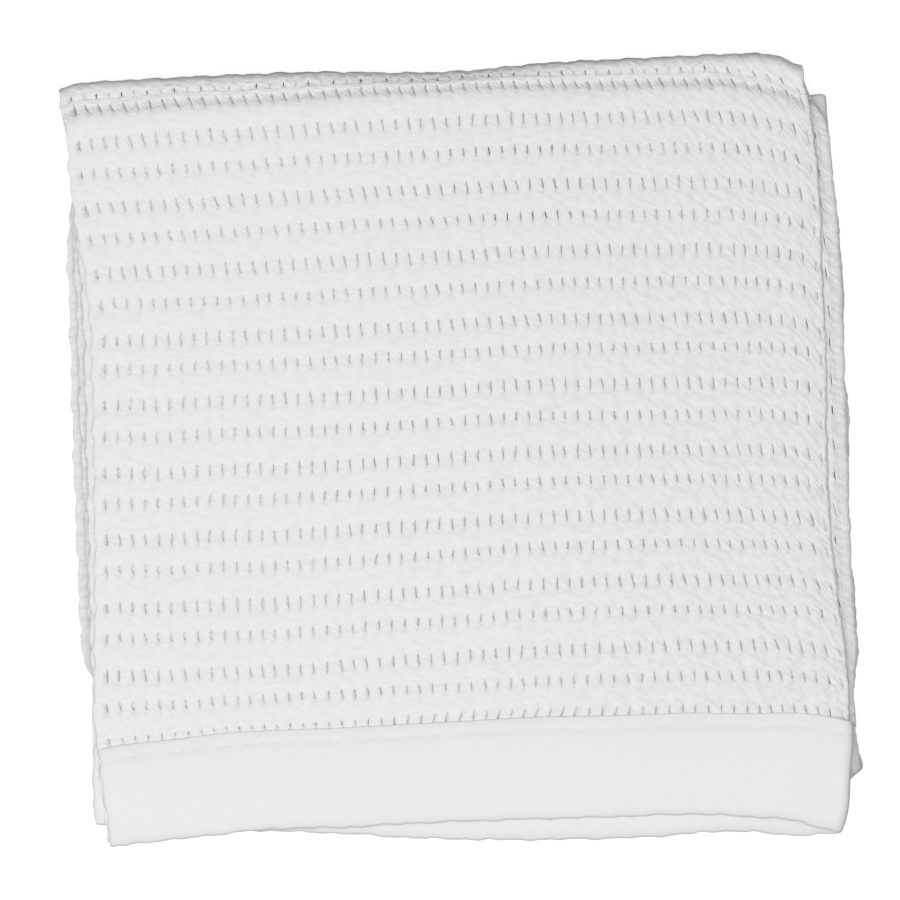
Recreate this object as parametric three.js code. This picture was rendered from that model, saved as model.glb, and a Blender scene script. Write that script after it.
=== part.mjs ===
import * as THREE from "three";

// A white cellular cot blanket with a binding at each end. It is folded in half across its width, then back and
// forth in three along its length, so that six plies lie on each other.
// Millimetres, +Z up. The upper end points to -Y, the fold across the width to +X, and it lies on z = 0.

// Cloth and fold sizes.
const CLOTH_THICK = 2.6;
const PLY_PITCH = 4.1;
const BEND_RADIUS = PLY_PITCH;
const PAIR_REACH = (PLY_PITCH + CLOTH_THICK) / 2;
const BEND_REACH = BEND_RADIUS + PAIR_REACH;

// Heights of the middles of the three pairs of plies.
const BOTTOM_HEIGHT = PAIR_REACH;
const MIDDLE_HEIGHT = BOTTOM_HEIGHT + 2 * BEND_RADIUS;
const TOP_HEIGHT = MIDDLE_HEIGHT + 2 * BEND_RADIUS;

// The binding is folded over the cloth's end, which is pressed thin inside it.
const PIECE_GAP = 0.35;
const BINDING_DEPTH = 45;
const BINDING_PLY = 1;
const END_THICK = 1;
const BINDING_HALF = END_THICK / 2 + PIECE_GAP + BINDING_PLY;
const SLOT_HALF = END_THICK / 2 + PIECE_GAP;
const SLOT_END = BINDING_HALF + 0.1;
const MOUTH_GAP = 0.5;
const THINNING_RUN = 4;

// The layers' lengths from hem to fold, which turn a depth in from a hem into a share of the layer.
const TOP_LENGTH = 349;
const BOTTOM_LENGTH = 315;

// The outline in the surface's plane. Each table is read by its first column, as a smooth line through its rows.
// Nominal sides of the folded blanket, which place a point of a hem or fold before the side tables are read.
const LEFT_SIDE = -176;
const RIGHT_SIDE = 174;

const TOP_SIDES = {
  columns: ["y", "first", "second", "fold"],
  rows: [
    [-186, -173.0, -175.0, 170.8],
    [-176, -173.3, -178.2, 174.1],
    [-160, -174.4, -180.0, 175.6],
    [-140, -176.5, -179.2, 177.8],
    [-110, -177.4, -178.2, 177.2],
    [-80, -175.9, -177.8, 174.4],
    [-45, -174.2, -177.0, 172.0],
    [-5, -172.9, -176.0, 171.7],
    [35, -171.8, -175.2, 173.3],
    [72, -171.6, -174.6, 173.2],
    [105, -174.9, -176.0, 174.0],
    [130, -177.8, -177.2, 172.0],
    [156, -179.2, -178.4, 169.8],
    [170, -180.0, -179.6, 165.8],
    [178, -180.6, -180.2, 162.0],
  ],
};

const MIDDLE_SIDES = {
  columns: ["y", "first", "second", "fold"],
  rows: [
    [-152, -175.0, -176.0, 178.8],
    [-120, -176.0, -176.6, 177.6],
    [-92, -177.0, -177.2, 176.8],
    [-84, -179.8, -177.6, 176.5],
    [-60, -180.4, -178.0, 176.2],
    [-28, -181.0, -178.0, 175.8],
    [24, -180.6, -178.3, 175.6],
    [72, -179.6, -177.5, 175.2],
    [110, -179.8, -178.0, 173.5],
    [130, -177.4, -177.0, 172.0],
    [150, -178.2, -177.8, 169.5],
    [172, -180.0, -179.6, 163.5],
  ],
};

const BOTTOM_SIDES = {
  columns: ["y", "first", "second", "fold"],
  rows: [
    [-156, -174.4, -173.0, 181.8],
    [-146, -174.8, -173.2, 179.6],
    [-122, -175.5, -174.0, 179.2],
    [-100, -176.5, -175.0, 181.4],
    [-50, -177.0, -176.5, 180.7],
    [-17, -177.5, -176.5, 181.3],
    [10, -177.8, -177.0, 182.8],
    [34, -177.5, -177.0, 179.9],
    [61, -177.0, -176.0, 182.7],
    [105, -176.0, -175.0, 181.5],
    [126, -175.8, -174.5, 179.6],
    [160, -175.0, -173.5, 178.2],
  ],
};

const FRONT_HEM = {
  columns: ["x", "first", "second"],
  rows: [
    [-176, -178.8, -167.5],
    [-160, -176.8, -169.8],
    [-140, -175.0, -171.5],
    [-100, -173.1, -174.0],
    [-62, -174.1, -176.2],
    [-30, -173.6, -179.3],
    [15, -173.9, -182.7],
    [60, -174.6, -183.6],
    [103, -175.0, -182.8],
    [130, -177.4, -183.7],
    [150, -179.8, -186.2],
    [174, -186.2, -187.2],
  ],
};

const REAR_HEM = {
  columns: ["x", "first", "second"],
  rows: [
    [-176, 163.5, 160.5],
    [-100, 165.0, 163.5],
    [0, 163.0, 165.0],
    [100, 161.0, 162.6],
    [174, 159.4, 159.0],
  ],
};

const REAR_FOLD = {
  columns: ["x", "reach"],
  rows: [
    [-176, 179.8],
    [-160, 181.5],
    [-60, 181.6],
    [4, 179.6],
    [58, 181.0],
    [118, 181.0],
    [156, 179.5],
    [174, 178.0],
  ],
};

const FRONT_FOLD = {
  columns: ["x", "reach"],
  rows: [
    [-176, -158.0],
    [-100, -162.0],
    [0, -163.0],
    [110, -161.5],
    [174, -160.2],
  ],
};

// Soft unevenness of the stack's height, as shares of it, in waves that run across and along the cloth.
const SWELL_WAVES = [
  { share: 0.022, acrossRun: 52, alongRun: 71, phase: 0.7 },
  { share: 0.014, acrossRun: -63, alongRun: 45, phase: 2.1 },
  { share: 0.009, acrossRun: 90, alongRun: -29, phase: 4 },
];

// The stack is lower beside the fold across the width.
const SHOULDER_RUN = 38;
const SHOULDER_FALL = 0.09;

// The top layer's end hangs over the front fold.
const DROOP_FROM = -148;
const DROOP_RUN = 38;
const DROOP = 7;

// The lowest layer lifts a little at its end, because the binding is thicker than the cloth.
const END_LIFT = BINDING_HALF - CLOTH_THICK / 2;
const END_LIFT_RUN = 20;

// Steps of the surfaces.
const PLY_STATIONS = [0, 0.02, 0.08, 0.16, 0.24, 0.32, 0.4, 0.48, 0.56, 0.64, 0.72, 0.8, 0.87, 0.94, 1];
const BEND_STEPS = 6;
const LAYER_STEPS = 13;
const HEM_STEPS = 4;

const cotton = (colour) => new THREE.MeshStandardMaterial({ color: colour, roughness: 0.95, metalness: 0 });

// A table's column at a place: cubic pieces through the rows, whose slopes are those between neighbouring rows.
function read(table, name, at) {
  const c = table.columns.indexOf(name);
  const rows = table.rows;
  const last = rows.length - 1;
  if (at <= rows[0][0]) return rows[0][c];
  if (at >= rows[last][0]) return rows[last][c];
  const k = rows.findIndex((row) => row[0] > at) - 1;
  const slope = (i) => {
    const before = rows[Math.max(i - 1, 0)];
    const after = rows[Math.min(i + 1, last)];
    return (after[c] - before[c]) / (after[0] - before[0]);
  };
  const run = rows[k + 1][0] - rows[k][0];
  const t = (at - rows[k][0]) / run;
  const rise = t * t * (3 - 2 * t);
  const leave = t * (1 - t) * (1 - t) * run * slope(k);
  const arrive = t * t * (t - 1) * run * slope(k + 1);
  return rows[k][c] * (1 - rise) + rows[k + 1][c] * rise + leave + arrive;
}

const mix = (a, b, share) => a + (b - a) * share;
const smooth = (share) => THREE.MathUtils.smoothstep(share, 0, 1);

// The stack's height factor at a place: the soft waves and the shoulder beside the fold.
function swell(x, y) {
  let factor = 1 - SHOULDER_FALL * smooth(1 - (RIGHT_SIDE + PAIR_REACH - x) / SHOULDER_RUN);
  for (const { share, acrossRun, alongRun, phase } of SWELL_WAVES) {
    factor += share * Math.sin(x / acrossRun + y / alongRun + phase);
  }
  return factor;
}

// Where a point of the folded blanket lies.
// along runs over the length: 0 to 1 the top layer from its hem to the rear fold, 1 to 2 round that fold, 2 to 3
// the middle layer, 3 to 4 round the front fold, 4 to 5 the bottom layer to its hem.
// across runs over the width: 0 to 1 the first ply from its selvedge, 1 to 2 round the fold, 2 to 3 the second ply
// to its selvedge. offset is the height over the ply's middle, towards the outside of the fold across the width.
function place(along, across, offset) {
  const round = THREE.MathUtils.clamp(across - 1, 0, 1);
  const reach = across < 1 ? across : Math.min(1, 3 - across);
  const turn = Math.PI * (0.5 - round);
  const out = PLY_PITCH / 2 + offset;
  const rise = out * Math.sin(turn);
  const nominalX = mix(LEFT_SIDE, RIGHT_SIDE, reach);

  const hem = (table) => mix(read(table, "first", nominalX), read(table, "second", nominalX), round);
  const rearY = read(REAR_FOLD, "reach", nominalX) - BEND_REACH;
  const frontY = read(FRONT_FOLD, "reach", nominalX) + BEND_REACH;

  const side = (table, y) => {
    const foldX = read(table, "fold", y) - PAIR_REACH;
    const leftX = read(table, across < 1.5 ? "first" : "second", y);
    return mix(leftX, foldX, reach) + out * Math.cos(turn);
  };

  const share = along - Math.floor(Math.min(along, 4));
  const bend = Math.PI * share;
  let x, y, z;
  if (along <= 1) {
    y = mix(hem(FRONT_HEM), rearY, along);
    x = side(TOP_SIDES, y);
    z = TOP_HEIGHT + rise;
  } else if (along < 2) {
    y = rearY + (BEND_RADIUS + rise) * Math.sin(bend);
    x = mix(side(TOP_SIDES, rearY), side(MIDDLE_SIDES, rearY), share);
    z = TOP_HEIGHT - BEND_RADIUS + (BEND_RADIUS + rise) * Math.cos(bend);
  } else if (along <= 3) {
    y = mix(rearY, frontY, along - 2);
    x = side(MIDDLE_SIDES, y);
    z = MIDDLE_HEIGHT - rise;
  } else if (along < 4) {
    y = frontY - (BEND_RADIUS - rise) * Math.sin(bend);
    x = mix(side(MIDDLE_SIDES, frontY), side(BOTTOM_SIDES, frontY), share);
    z = MIDDLE_HEIGHT - BEND_RADIUS + (BEND_RADIUS - rise) * Math.cos(bend);
  } else {
    y = mix(frontY, hem(REAR_HEM), share);
    x = side(BOTTOM_SIDES, y);
    const fromBinding = (1 - share) * BOTTOM_LENGTH - BINDING_DEPTH;
    z = BOTTOM_HEIGHT + rise + END_LIFT * smooth(1 - fromBinding / END_LIFT_RUN);
  }

  z *= swell(x, y);
  if (along <= 1) z -= DROOP * THREE.MathUtils.clamp((DROOP_FROM - y) / DROOP_RUN, 0, 1) ** 2;
  return [x, y, z];
}

// The places across the width where the surfaces have points.
function acrossStations() {
  const stations = [...PLY_STATIONS];
  for (let i = 1; i < BEND_STEPS; i++) stations.push(1 + i / BEND_STEPS);
  stations.push(...PLY_STATIONS.map((share) => 3 - share).reverse());
  return stations;
}

// A closed sheet. Its section along the length is a row of pairs, one point on each face, and is carried across the
// width. Each point is [along, offset].
function sheet(name, pairs, material) {
  const stations = acrossStations();
  const wide = stations.length;
  const long = pairs.length;
  const points = [];
  for (const face of ["outer", "inner"]) {
    for (const pair of pairs) {
      for (const across of stations) points.push(...place(pair[face][0], across, pair[face][1]));
    }
  }
  const outer = (i, j) => j * wide + i;
  const inner = (i, j) => long * wide + outer(i, j);
  const index = [];
  const quad = (a, b, c, d) => index.push(a, b, c, a, c, d);
  for (let j = 0; j < long - 1; j++) {
    for (let i = 0; i < wide - 1; i++) {
      quad(outer(i, j), outer(i + 1, j), outer(i + 1, j + 1), outer(i, j + 1));
      quad(inner(i, j), inner(i, j + 1), inner(i + 1, j + 1), inner(i + 1, j));
    }
    quad(outer(0, j), outer(0, j + 1), inner(0, j + 1), inner(0, j));
    quad(outer(wide - 1, j), inner(wide - 1, j), inner(wide - 1, j + 1), outer(wide - 1, j + 1));
  }
  for (let i = 0; i < wide - 1; i++) {
    quad(outer(i, 0), inner(i, 0), inner(i + 1, 0), outer(i + 1, 0));
    quad(outer(i, long - 1), outer(i + 1, long - 1), inner(i + 1, long - 1), inner(i, long - 1));
  }
  const geometry = new THREE.BufferGeometry();
  geometry.setAttribute("position", new THREE.Float32BufferAttribute(points, 3));
  geometry.setIndex(index);
  geometry.computeVertexNormals();
  const mesh = new THREE.Mesh(geometry, material);
  mesh.name = name;
  return mesh;
}

// The depths in from a hem where the cloth's section has points: thin inside the binding, full past its mouth.
const TONGUE = [
  { depth: SLOT_END + MOUTH_GAP, half: END_THICK / 2 },
  { depth: BINDING_DEPTH / 3, half: END_THICK / 2 },
  { depth: (2 * BINDING_DEPTH) / 3, half: END_THICK / 2 },
  { depth: BINDING_DEPTH + MOUTH_GAP, half: END_THICK / 2 },
  { depth: BINDING_DEPTH + MOUTH_GAP + THINNING_RUN, half: CLOTH_THICK / 2 },
];

// The cloth's section: the thin end, the three layers with their two bends, and the other thin end.
function clothSection() {
  const stations = TONGUE.map(({ depth, half }) => [depth / TOP_LENGTH, half]);
  const full = CLOTH_THICK / 2;
  const span = (from, to, steps) => {
    for (let i = 1; i <= steps; i++) stations.push([mix(from, to, i / steps), full]);
  };
  span(stations[stations.length - 1][0], 1, LAYER_STEPS);
  span(1, 2, BEND_STEPS);
  span(2, 3, LAYER_STEPS + 1);
  span(3, 4, BEND_STEPS);
  const ending = TONGUE.map(({ depth, half }) => [5 - depth / BOTTOM_LENGTH, half]).reverse();
  span(4, ending[0][0], LAYER_STEPS - 1);
  stations.push(...ending.slice(1));
  return stations.map(([along, half]) => ({ outer: [along, half], inner: [along, -half] }));
}

// The binding's section: one leg in from the mouth, half round the hem, and the other leg back to the mouth.
// Its outer side is full and its inner side is a narrow slot for the cloth's end.
function bindingSection(alongAt) {
  const legs = [BINDING_DEPTH, (2 * BINDING_DEPTH) / 3, BINDING_DEPTH / 3, SLOT_END];
  const pairs = legs.map((depth) => ({ outer: [depth, BINDING_HALF], inner: [depth, SLOT_HALF] }));
  for (let i = 1; i < HEM_STEPS; i++) {
    const angle = Math.PI * (0.5 - i / HEM_STEPS);
    pairs.push({
      outer: [SLOT_END - SLOT_END * Math.cos(angle), BINDING_HALF * Math.sin(angle)],
      inner: [SLOT_END, SLOT_HALF * Math.sin(angle)],
    });
  }
  for (const depth of [...legs].reverse()) {
    pairs.push({ outer: [depth, -BINDING_HALF], inner: [depth, -SLOT_HALF] });
  }
  return pairs.map(({ outer, inner }) => ({
    outer: [alongAt(outer[0]), outer[1]],
    inner: [alongAt(inner[0]), inner[1]],
  }));
}

const clothColour = cotton(0xf0f0ee);
const bindingColour = cotton(0xf4f4f3);

const blanket = new THREE.Group();
blanket.add(sheet("blanket_cloth", clothSection(), clothColour));
blanket.add(sheet("end_binding_front", bindingSection((depth) => depth / TOP_LENGTH).reverse(), bindingColour));
blanket.add(sheet("end_binding_back", bindingSection((depth) => 5 - depth / BOTTOM_LENGTH), bindingColour));

// The part's origin is the middle of its underside.
const box = new THREE.Box3().setFromObject(blanket);
const middle = box.getCenter(new THREE.Vector3());
blanket.position.set(-middle.x, -middle.y, -box.min.z);

const part = new THREE.Group();
part.add(blanket);

export default part;
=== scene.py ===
"""Looks of the folded cellular blanket: open-cell cloth, end bindings, sewing thread and a plain studio."""

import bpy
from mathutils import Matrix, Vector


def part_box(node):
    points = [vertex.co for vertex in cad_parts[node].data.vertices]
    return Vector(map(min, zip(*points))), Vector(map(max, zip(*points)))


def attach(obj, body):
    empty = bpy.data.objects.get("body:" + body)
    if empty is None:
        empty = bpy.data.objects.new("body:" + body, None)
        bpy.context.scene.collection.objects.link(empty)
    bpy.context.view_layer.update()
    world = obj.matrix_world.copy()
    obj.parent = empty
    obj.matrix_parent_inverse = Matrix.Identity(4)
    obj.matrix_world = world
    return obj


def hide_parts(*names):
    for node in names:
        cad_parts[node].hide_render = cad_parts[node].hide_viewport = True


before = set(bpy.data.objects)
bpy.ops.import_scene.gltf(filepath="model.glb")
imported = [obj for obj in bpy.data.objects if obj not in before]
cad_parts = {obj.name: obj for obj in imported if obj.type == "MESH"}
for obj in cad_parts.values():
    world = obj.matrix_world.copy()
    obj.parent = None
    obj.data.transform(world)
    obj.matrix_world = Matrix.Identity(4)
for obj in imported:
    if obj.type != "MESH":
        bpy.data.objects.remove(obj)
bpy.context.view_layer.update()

import math

import bpy
import numpy as np
from mathutils import Euler, Vector

bl_info = {
    "name": "Cellular blanket",
    "version": (1, 0, 0),
    "blender": (4, 5, 0),
    "location": "3D View > Sidebar > Blanket",
    "description": "Weaves, binds and lights a folded cellular blanket",
    "category": "Object",
}

# All sizes below are millimetres in the plane of the folded blanket, unless a name says otherwise. +X
# points to the fold across the width and -Y to the end that lies on top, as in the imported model.
MM = 0.001

# Height at which the cloth lies on the floor, where its unevenness would take it lower.
FLOOR_GAP = 0.03

# Cloth and fold sizes, as in the solids.
CLOTH_THICK = 2.6
PLY_PITCH = 4.1
BEND_RADIUS = PLY_PITCH
PAIR_REACH = (PLY_PITCH + CLOTH_THICK) / 2
BEND_REACH = BEND_RADIUS + PAIR_REACH
BOTTOM_HEIGHT = PAIR_REACH
MIDDLE_HEIGHT = BOTTOM_HEIGHT + 2 * BEND_RADIUS
TOP_HEIGHT = MIDDLE_HEIGHT + 2 * BEND_RADIUS
BINDING_HALF = 1.85
CLOTH_NODE = "blanket_cloth"

# Lengths on the flat cloth: its three layers, the arcs of a ply on the outside and the inside of a bend,
# and the two plies beside the arc of the fold across the width.
TOP_LENGTH = 349.0
MIDDLE_LENGTH = 329.0
BOTTOM_LENGTH = 315.0
WIDE_ARC = math.pi * (BEND_RADIUS + PLY_PITCH / 2)
TIGHT_ARC = math.pi * (BEND_RADIUS - PLY_PITCH / 2)
CLOTH_LENGTH = TOP_LENGTH + MIDDLE_LENGTH + BOTTOM_LENGTH + WIDE_ARC + TIGHT_ARC
PLY_WIDTH = 350.0
FOLD_ARC = math.pi * PLY_PITCH / 2
CLOTH_WIDTH = 2 * PLY_WIDTH + FOLD_ARC
FOLD_MIDDLE = CLOTH_WIDTH / 2
SHEAR_RUN = 60.0


def table(columns, *rows):
    """Rows of numbers under named columns. The first column holds the places that the others are read at."""
    return {"columns": columns, "rows": np.array(rows, float)}


# The outline. Each table is read as a smooth line through its rows.
LEFT_SIDE = -176.0
RIGHT_SIDE = 174.0

TOP_SIDES = table(
    ("y", "first", "second", "fold"),
    [-186, -173.0, -175.0, 170.8],
    [-176, -173.3, -178.2, 174.1],
    [-160, -174.4, -180.0, 175.6],
    [-140, -176.5, -179.2, 177.8],
    [-110, -177.4, -178.2, 178.2],
    [-80, -175.9, -177.8, 175.6],
    [-45, -174.2, -177.0, 173.2],
    [-5, -172.9, -176.0, 172.9],
    [35, -171.8, -175.2, 174.5],
    [72, -171.6, -174.6, 174.4],
    [105, -174.9, -176.0, 175.0],
    [128, -177.8, -177.2, 174.2],
    [150, -178.8, -178.2, 172.4],
    [165, -179.8, -179.2, 169.3],
    [173, -181.8, -181.0, 166.0],
    [178, -182.2, -181.6, 162.6],
)

MIDDLE_SIDES = table(
    ("y", "first", "second", "fold"),
    [-152, -175.0, -176.0, 180.2],
    [-120, -176.0, -176.6, 179.2],
    [-98, -178.2, -177.2, 181.6],
    [-88, -182.2, -177.6, 181.2],
    [-60, -182.6, -178.0, 180.6],
    [-28, -182.6, -178.0, 181.0],
    [24, -182.1, -178.3, 181.4],
    [72, -181.3, -177.5, 182.0],
    [110, -180.6, -178.0, 180.8],
    [130, -177.4, -177.0, 179.4],
    [148, -178.1, -177.7, 178.2],
    [157, -178.8, -178.4, 172.0],
    [165, -179.8, -179.2, 169.0],
    [172, -181.4, -180.8, 166.4],
)

BOTTOM_SIDES = table(
    ("y", "first", "second", "fold"),
    [-156, -174.4, -173.0, 183.2],
    [-146, -174.8, -173.2, 179.6],
    [-122, -175.5, -174.0, 179.2],
    [-100, -176.5, -175.0, 182.2],
    [-50, -177.0, -176.5, 180.7],
    [-17, -177.5, -176.5, 181.3],
    [10, -177.8, -177.0, 182.8],
    [34, -177.5, -177.0, 181.1],
    [61, -177.0, -176.0, 182.7],
    [105, -176.0, -175.0, 181.5],
    [126, -175.8, -174.5, 179.6],
    [160, -175.0, -173.5, 178.2],
)

FRONT_HEM = table(
    ("x", "first", "second"),
    [-176, -178.8, -167.5],
    [-160, -177.2, -169.8],
    [-140, -176.1, -171.5],
    [-100, -173.5, -174.0],
    [-62, -174.1, -177.0],
    [-30, -173.6, -180.4],
    [15, -173.9, -183.4],
    [60, -174.6, -184.8],
    [88, -174.8, -185.0],
    [103, -175.0, -184.2],
    [130, -177.4, -184.2],
    [150, -179.8, -186.9],
    [174, -186.2, -187.4],
)

REAR_HEM = table(
    ("x", "first", "second"),
    [-176, 163.5, 160.5],
    [-100, 165.0, 163.5],
    [0, 163.0, 165.0],
    [100, 161.6, 162.8],
    [174, 161.0, 160.6],
)

REAR_FOLD = table(
    ("x", "reach"),
    [-176, 178.8],
    [-168, 180.9],
    [-160, 181.5],
    [-60, 181.6],
    [4, 179.6],
    [58, 181.0],
    [118, 181.4],
    [142, 181.6],
    [160, 181.2],
    [168, 179.9],
    [174, 175.6],
)

FRONT_FOLD = table(
    ("x", "reach"),
    [-176, -158.0],
    [-100, -162.0],
    [0, -163.0],
    [110, -161.5],
    [174, -160.2],
)

# Soft unevenness of the stack's height, as shares of it, in waves that run across and along the cloth.
SWELL_WAVES = table(
    ("share", "across_run", "along_run", "phase"),
    [0.022, 52, 71, 0.7],
    [0.014, -63, 45, 2.1],
    [0.009, 90, -29, 4],
)
SHOULDER_RUN = 38.0
SHOULDER_FALL = 0.09
DROOP_FROM = -148.0
DROOP_RUN = 38.0
DROOP = 7.0
END_LIFT = BINDING_HALF - CLOTH_THICK / 2
END_LIFT_RUN = 20.0
END_LIFT_DEPTH = 45.0
BINDING_DEPTH = 47.2

# Rows of cells, as places along the cloth from its front hem: those of the top layer as they lie in the
# photo, the rest in pairs. Rows in a pair lie nearer each other than pairs do, and the last row shown lies
# on the rear fold, gathered close to the one before it.
TOP_ROWS = [
    48.6, 64.3, 78.3, 95.7, 109.8, 127.3, 141.5, 158.4, 172.3, 189.3,
    204.3, 221.5, 235.2, 252.7, 267.9, 284.7, 299.5, 316.2, 330.8, 346.9,
    353.0,
]
ROW_PITCH = 15.5
PAIR_SHIFT = 0.5

# Cells across the width: the first slit's middle from the selvedge, the least that it may be, and the
# number of slits in a row.
SLIT_MARGIN = 7.6
LEAST_MARGIN = 4.4
CELLS = 116
CELL_PITCH = (CLOTH_WIDTH - 2 * SLIT_MARGIN) / (CELLS - 1)

# How far the rows of the top layer lie from where the outline alone puts them, towards the rear fold, by
# places across it and at places along the cloth.
ROW_SHIFTS = table(
    ("x", 48, 80, 140, 200, 255, 305, 340),
    [-170, 0.0, 1.4, 1.8, 2.2, 0.1, -1.9, -3.0],
    [-145, -1.0, -0.7, -0.8, -0.3, -1.3, -2.4, -3.2],
    [-120, -0.7, -2.6, -1.0, -0.3, -1.9, -2.4, -1.9],
    [-95, -1.0, -3.7, -2.9, -1.3, -2.2, -2.1, -2.1],
    [-60, -0.3, -2.0, -1.7, -1.3, -1.1, -0.9, -1.3],
    [-28, -0.3, -0.8, -0.8, -0.3, 0.0, 0.0, 0.4],
    [0, 0.0, 0.3, 0.2, 0.8, 0.6, 0.8, 1.1],
    [25, 0.5, 1.5, 1.4, 1.5, 0.9, 1.0, 1.3],
    [66, 0.4, 1.8, 1.1, 0.2, 0.0, -0.6, -1.1],
    [90, 0.9, 1.4, 0.7, -0.7, -1.2, -1.8, -2.0],
    [113, 1.4, 1.3, 0.3, -1.0, -1.4, -2.1, -2.3],
    [141, 2.2, 2.4, 0.2, -0.8, -2.5, -4.0, -3.7],
    [160, 3.5, 3.4, 0.8, -0.7, -4.1, -6.8, -7.7],
    [174, 4.2, 4.0, 1.5, -1.0, -5.5, -8.5, -9.5],
)
ROW_SHIFT_RUN = 180.0

# How far the columns of slits lie to the right of even ones, how they slant round the middle of the cloth,
# and how far those of the lower layers are drawn back from the fold.
COLUMN_SHIFTS = table(
    ("x", "shift"),
    [-176, -2.2],
    [-145, -1.3],
    [-113, -0.2],
    [-52, 1.4],
    [19, 2.6],
    [83, 2.2],
    [132, 1.4],
    [150, -0.3],
    [174, -1.2],
)
SLANT = {"slope": 0.0155, "level": 190.0, "middle": -10, "reach": 50, "fade": 70}
FOLD_DRAW = {"shift": -2.6, "from": 110, "run": 60}

# Depth of the front binding's mouth under the first ply, and that of every other leg.
MOUTH_DEPTHS = table(
    ("x", "depth"),
    [-174, 46.2],
    [-145, 47.6],
    [-113, 47.7],
    [-50, 47.2],
    [0, 47.6],
    [45, 47.6],
    [95, 46.6],
    [120, 46.2],
    [146, 46.8],
    [174, 47.2],
)
PLAIN_MOUTH_DEPTH = 46.0

# Where the second ply's slits lie under the first ply's, so that the cells show dark.
ALIGNED_PATCHES = table(
    ("x", "y", "reach_x", "reach_y", "share"),
    [27, 124, 48, 34, 1.0],
    [-18, 0, 42, 26, 0.9],
    [139, 148, 9, 22, 1.0],
    [150, 90, 9, 34, 0.9],
    [14, -116, 55, 10, 0.8],
    [-146, -12, 22, 9, 0.8],
    [125, 56, 45, 14, 0.5],
    [66, -8, 40, 20, 0.6],
)
UNALIGNED_SHIFT = 6.8

# Lines across a row of cells: places along a slit as shares of its half length, and through the band above it
# as shares of the band, on fine and coarse pieces. A slit's width at its tips as a share of the widest, half
# lengths of slits, and half the gap between a band's points above a slit.
FINE_SLIT = [-1.0, -0.72, -0.28, 0.28, 0.72, 1.0]
COARSE_SLIT = [-1.0, -0.5, 0.5, 1.0]
FINE_BAND = [0.25, 0.5, 0.75]
COARSE_BAND = [0.33, 0.67]
TIP_SHARE = 0.16
LONG_SLIT_HALF = 2.8
SHORT_SLIT_HALF = 2.2
HEM_SLIT_HALF = 2.1
FOLD_SLIT_HALF = 1.5
BAND_LINE_HALF = 0.8

# A band narrower than this rises less.
NARROW_BAND = 7.0

# Quads across a bar, and the places across the bar on the fold, which shows from its first ply's side.
FINE_BARS, COARSE_BARS, FOLD_BARS = 4, 2, 10
FOLD_BAR = [0.0, 0.22, 0.34, 0.47]

# Lines of the plain selvedge, in from its edge, with the share of the cloth's thickness that it has there.
SELVEDGE_LINES = [(0.0, 0.12), (0.3, 0.62), (1.0, 0.9), (2.6, 1.0)]

# Lines of the thin end that lies inside a binding, as depths in from the hem, their place between hollow
# and ridge, the rows that would fit beyond the first one, and the end's thinner section.
TONGUE_LINES = [2.5, 16.0, 30.0, 41.0]
TONGUE_RIDGE = 0.5
HEM_ROWS = 3.2
THIN_HALF = 0.5
INNER_RISE = 0.2
THIN_LEAD = 2.6
THIN_RUN = 3.3

# Row and cell at which the cloth is parted into pieces, at hidden places inside the stack.
REAR_PART_ROWS = 22
SECOND_PART_CELL = 61
FOLD_PART_CELLS = (44, 72)
UNDERSIDE_PART_CELL = 55
FRONT_PART_DEPTH = 26.0


def read(rows_by, name, at):
    """A table's column at places: cubic pieces through the rows, with the slopes between their neighbours."""
    known = rows_by["rows"][:, 0]
    value = rows_by["rows"][:, rows_by["columns"].index(name)]
    last = len(known) - 1
    at = np.clip(at, known[0], known[-1])
    before = np.maximum(np.arange(last + 1) - 1, 0)
    after = np.minimum(np.arange(last + 1) + 1, last)
    slope = (value[after] - value[before]) / (known[after] - known[before])
    k = np.clip(np.searchsorted(known, at, side="right") - 1, 0, last - 1)
    run = known[k + 1] - known[k]
    t = (at - known[k]) / run
    leave = t * (1 - t) ** 2 * run * slope[k]
    arrive = t * t * (t - 1) * run * slope[k + 1]
    return mix(value[k], value[k + 1], t * t * (3 - 2 * t)) + leave + arrive


def mix(a, b, share):
    """A share of the way from a to b."""
    return a + (b - a) * share


def smooth(share):
    """0 to 1 with level ends: the cubic 3t^2 - 2t^3 of the clamped share."""
    t = np.clip(share, 0, 1)
    return t * t * (3 - 2 * t)


def waves(rows_of, x, y):
    """A sum of sines: share * sin(x / across_run + y / along_run + phase) for each row."""
    rows = rows_of["rows"]
    return sum(share * np.sin(x / across + y / along + phase) for share, across, along, phase in rows)


def swell(x, y):
    """The stack's height factor: 1 plus sines that run across and along, less the shoulder beside the
    fold."""
    shoulder = SHOULDER_FALL * smooth(1 - (RIGHT_SIDE + PAIR_REACH - x) / SHOULDER_RUN)
    return 1 - shoulder + waves(SWELL_WAVES, x, y)


def fold_reach(across):
    """0 at a selvedge to 1 at the fold, on either ply."""
    return np.where(across < 1, across, np.minimum(1, 3 - across))


def plain_x(across):
    """The place from side to side of a place across the fold, before the outline is made uneven."""
    return mix(LEFT_SIDE, RIGHT_SIDE, fold_reach(across))


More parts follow.
